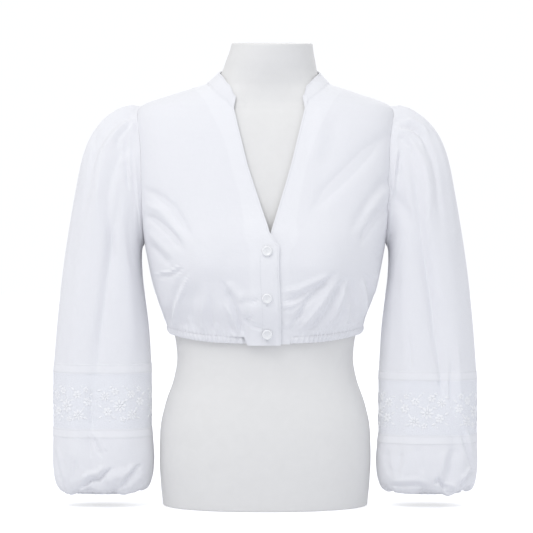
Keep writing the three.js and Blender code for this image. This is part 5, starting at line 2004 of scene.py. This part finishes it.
@dataclass
class Buttons:
    """Three dished pearly buttons on the placket, with their buttonholes. Lengths are millimetres.

    The profile is a button's section from its axis: share of the radius, share of the thickness.
    """

    profile: tuple = ((0, 0), (0.8, 0), (0.95, 0.12), (1, 0.4), (0.97, 0.66), (0.88, 0.9), (0.76, 1),
                      (0.66, 0.92), (0.56, 0.74), (0.4, 0.64), (0, 0.6))
    thick: float = 3.3
    steps: int = 40
    dish: float = 0.13
    thread_radius: float = 0.22
    thread_length: float = 3.4
    thread_rows: tuple[float, float, float] = (-0.234, 0.0, 0.234)
    thread_lift: float = 0.15
    hole_start: float = 6.6
    hole_stitches: int = 13
    hole_pitch: float = 0.42
    hole_rows: tuple[float, float] = (-0.75, 0.75)
    hole_lift: float = 0.1
    stitch_radius: float = 0.2
    stitch_length: float = 1.3

    def build(self, wardrobe: Wardrobe) -> None:
        """Makes each button at its solid's place.

        Args:
            wardrobe: the materials.
        """
        for k, height in enumerate(BUTTON_HEIGHTS):
            node = f"button_{k + 1}"
            low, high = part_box(node)
            z = np.asarray(float(height))
            normal = Vector(FIGURE.form_normal(FIGURE.turn_at(np.asarray(BUTTON_LINE), z), z))
            turned = normal.to_track_quat("Z", "X").to_matrix().to_4x4()
            for add in (self.add_button, self.add_thread, self.add_hole):
                add(node, Matrix.Translation((low + high) / 2) @ turned, wardrobe)

    def add_button(self, node: str, place: Matrix, wardrobe: Wardrobe) -> None:
        """Spins one button with a dished middle.

        Args:
            node: the button's solid.
            place: the button's place, with its face along Z.
            wardrobe: the materials.
        """
        bm = bmesh.new()
        radius, thick = BUTTON_RADIUS * MM, self.thick * MM
        rims = [bm.verts.new((r * radius, 0, (y - 0.5) * thick)) for r, y in self.profile]
        edges = [bm.edges.new(pair) for pair in zip(rims[:-1], rims[1:])]
        bmesh.ops.spin(
            bm, geom=rims + edges, cent=(0, 0, 0), axis=(0, 0, 1), angle=2 * math.pi, steps=self.steps,
            use_merge=True,
        )
        bmesh.ops.remove_doubles(bm, verts=bm.verts, dist=WELD)
        bmesh.ops.recalc_face_normals(bm, faces=bm.faces)
        bm.transform(place)
        mesh = to_mesh(bm, node)
        mesh.shade_smooth()
        add_piece(f"pearl_{node}", mesh, wardrobe.pearl, [node])

    def add_thread(self, node: str, place: Matrix, wardrobe: Wardrobe) -> None:
        """Lays the bar of thread across the button's middle.

        Args:
            node: the button's solid.
            place: the button's place, with its face along Z.
            wardrobe: the materials.
        """
        bm = bmesh.new()
        radius, up = self.thread_radius * MM, (self.dish * self.thick + self.thread_lift) * MM
        for y in self.thread_rows:
            bar = Matrix.Translation((0, y * MM, up)) @ Matrix.Rotation(math.pi / 2, 4, "Y")
            bmesh.ops.create_cone(
                bm, cap_ends=True, segments=8, radius1=radius, radius2=radius, depth=self.thread_length * MM,
                matrix=place @ bar,
            )
        add_piece(f"thread_{node}", to_mesh(bm, f"thread_{node}"), wardrobe.stitches)

    def add_hole(self, node: str, place: Matrix, wardrobe: Wardrobe) -> None:
        """Works the end of the buttonhole that shows beside the button.

        Args:
            node: the button's solid.
            place: the button's place, with its face along Z.
            wardrobe: the materials.
        """
        bm = bmesh.new()
        radius, up = self.stitch_radius * MM, (self.hole_lift - 0.5 * self.thick) * MM
        for y in self.hole_rows:
            for k in range(self.hole_stitches):
                at = Matrix.Translation(((-self.hole_start - self.hole_pitch * k) * MM, y * MM, up))
                bmesh.ops.create_cone(
                    bm, cap_ends=True, segments=6, radius1=radius, radius2=radius,
                    depth=self.stitch_length * MM, matrix=place @ at @ Matrix.Rotation(math.pi / 2, 4, "X"),
                )
        add_piece(f"buttonhole_{node}", to_mesh(bm, f"buttonhole_{node}"), wardrobe.stitches)


@dataclass(frozen=True)
class Lamp:
    """One soft square light: its name, place, size in metres, power in watts and colour."""

    name: str
    place: tuple[float, float, float]
    size: float
    watts: float
    colour: tuple[float, float, float] = (1, 1, 1)


@dataclass
class Studio:
    """Floor, lights, world and camera. Lengths are metres and the lens is in millimetres."""

    target: tuple[float, float, float] = (0.002, 0.0, 0.3495)
    distance: float = 3.5
    elevation: float = 1.3
    lens: float = 161.0
    sensor: float = 36.0
    floor_radius: float = 9.0
    floor_drop: float = 0.0005
    backdrop: tuple[float, float] = (0.75, 1.03)
    lamps: tuple[Lamp, ...] = (
        Lamp("key", (-0.95, -1.7, 2.6), 1.5, 28),
        Lamp("fill", (2.3, -2.4, 0.9), 2.2, 6, (0.8, 0.87, 1)),
        Lamp("back", (0.8, 2.4, 2.0), 1.8, 20),
    )

    def build(self, wardrobe: Wardrobe) -> None:
        """Makes the set round the part.

        Args:
            wardrobe: the materials.
        """
        bm = bmesh.new()
        bmesh.ops.create_circle(bm, cap_ends=True, segments=96, radius=self.floor_radius)
        mesh = to_mesh(bm, "floor")
        mesh.materials.append(wardrobe.floor)
        floor = bpy.data.objects.new("floor", mesh)
        floor.location.z = -self.floor_drop
        bpy.context.scene.collection.objects.link(floor)
        for lamp in self.lamps:
            self.add_lamp(lamp)
        self.light_world()
        self.add_camera()
        bpy.context.scene.view_settings.view_transform = "Standard"

    def add_lamp(self, lamp: Lamp) -> None:
        """Adds a soft square light that faces the part.

        Args:
            lamp: the light's sizes.
        """
        light = bpy.data.lights.new(lamp.name, "AREA")
        light.size, light.energy, light.color = lamp.size, lamp.watts, lamp.colour
        rig = bpy.data.objects.new(lamp.name, light)
        rig.location = lamp.place
        rig.rotation_euler = (Vector(self.target) - Vector(lamp.place)).to_track_quat("-Z", "Y").to_euler()
        bpy.context.scene.collection.objects.link(rig)

    def light_world(self) -> None:
        """A white room, dimmer as a light than as a backdrop."""
        world = bpy.data.worlds.new("room")
        world.use_nodes = True
        graph = Graph(world.node_tree)
        seen = graph.add("LightPath").outputs["Is Camera Ray"]
        levels = {"Value": seen, "To Min": self.backdrop[0], "To Max": self.backdrop[1]}
        strength = graph.add("MapRange", levels).outputs[0]
        light = graph.add("Background", {"Color": (0.97, 0.98, 1.0, 1), "Strength": strength})
        graph.add("OutputWorld", {"Surface": light.outputs[0]})
        bpy.context.scene.world = world

    def add_camera(self) -> None:
        """A long lens in front of the part, a little above its middle."""
        camera = bpy.data.cameras.new("camera")
        camera.lens, camera.sensor_width = self.lens, self.sensor
        rig = bpy.data.objects.new("camera", camera)
        rise = math.radians(self.elevation)
        target = Vector(self.target)
        rig.location = target + Vector((0, -math.cos(rise), math.sin(rise))) * self.distance
        rig.rotation_euler = (target - rig.location).to_track_quat("-Z", "Y").to_euler()
        bpy.context.scene.collection.objects.link(rig)
        bpy.context.scene.camera = rig


def main() -> None:
    """Builds the blouse, the form and the studio in order."""
    logging.basicConfig(level=logging.INFO)
    wardrobe = Wardrobe()
    Studio().build(wardrobe)
    DressForm().build(wardrobe)
    bodice = Bodice()
    bodice.build(wardrobe)
    sleeves = [Sleeve(side) for side in Side]
    for sleeve in sleeves:
        sleeve.build(wardrobe)
    Stitching().build(bodice, sleeves, wardrobe)
    Buttons().build(wardrobe)


if __name__ == "__main__":
    main()
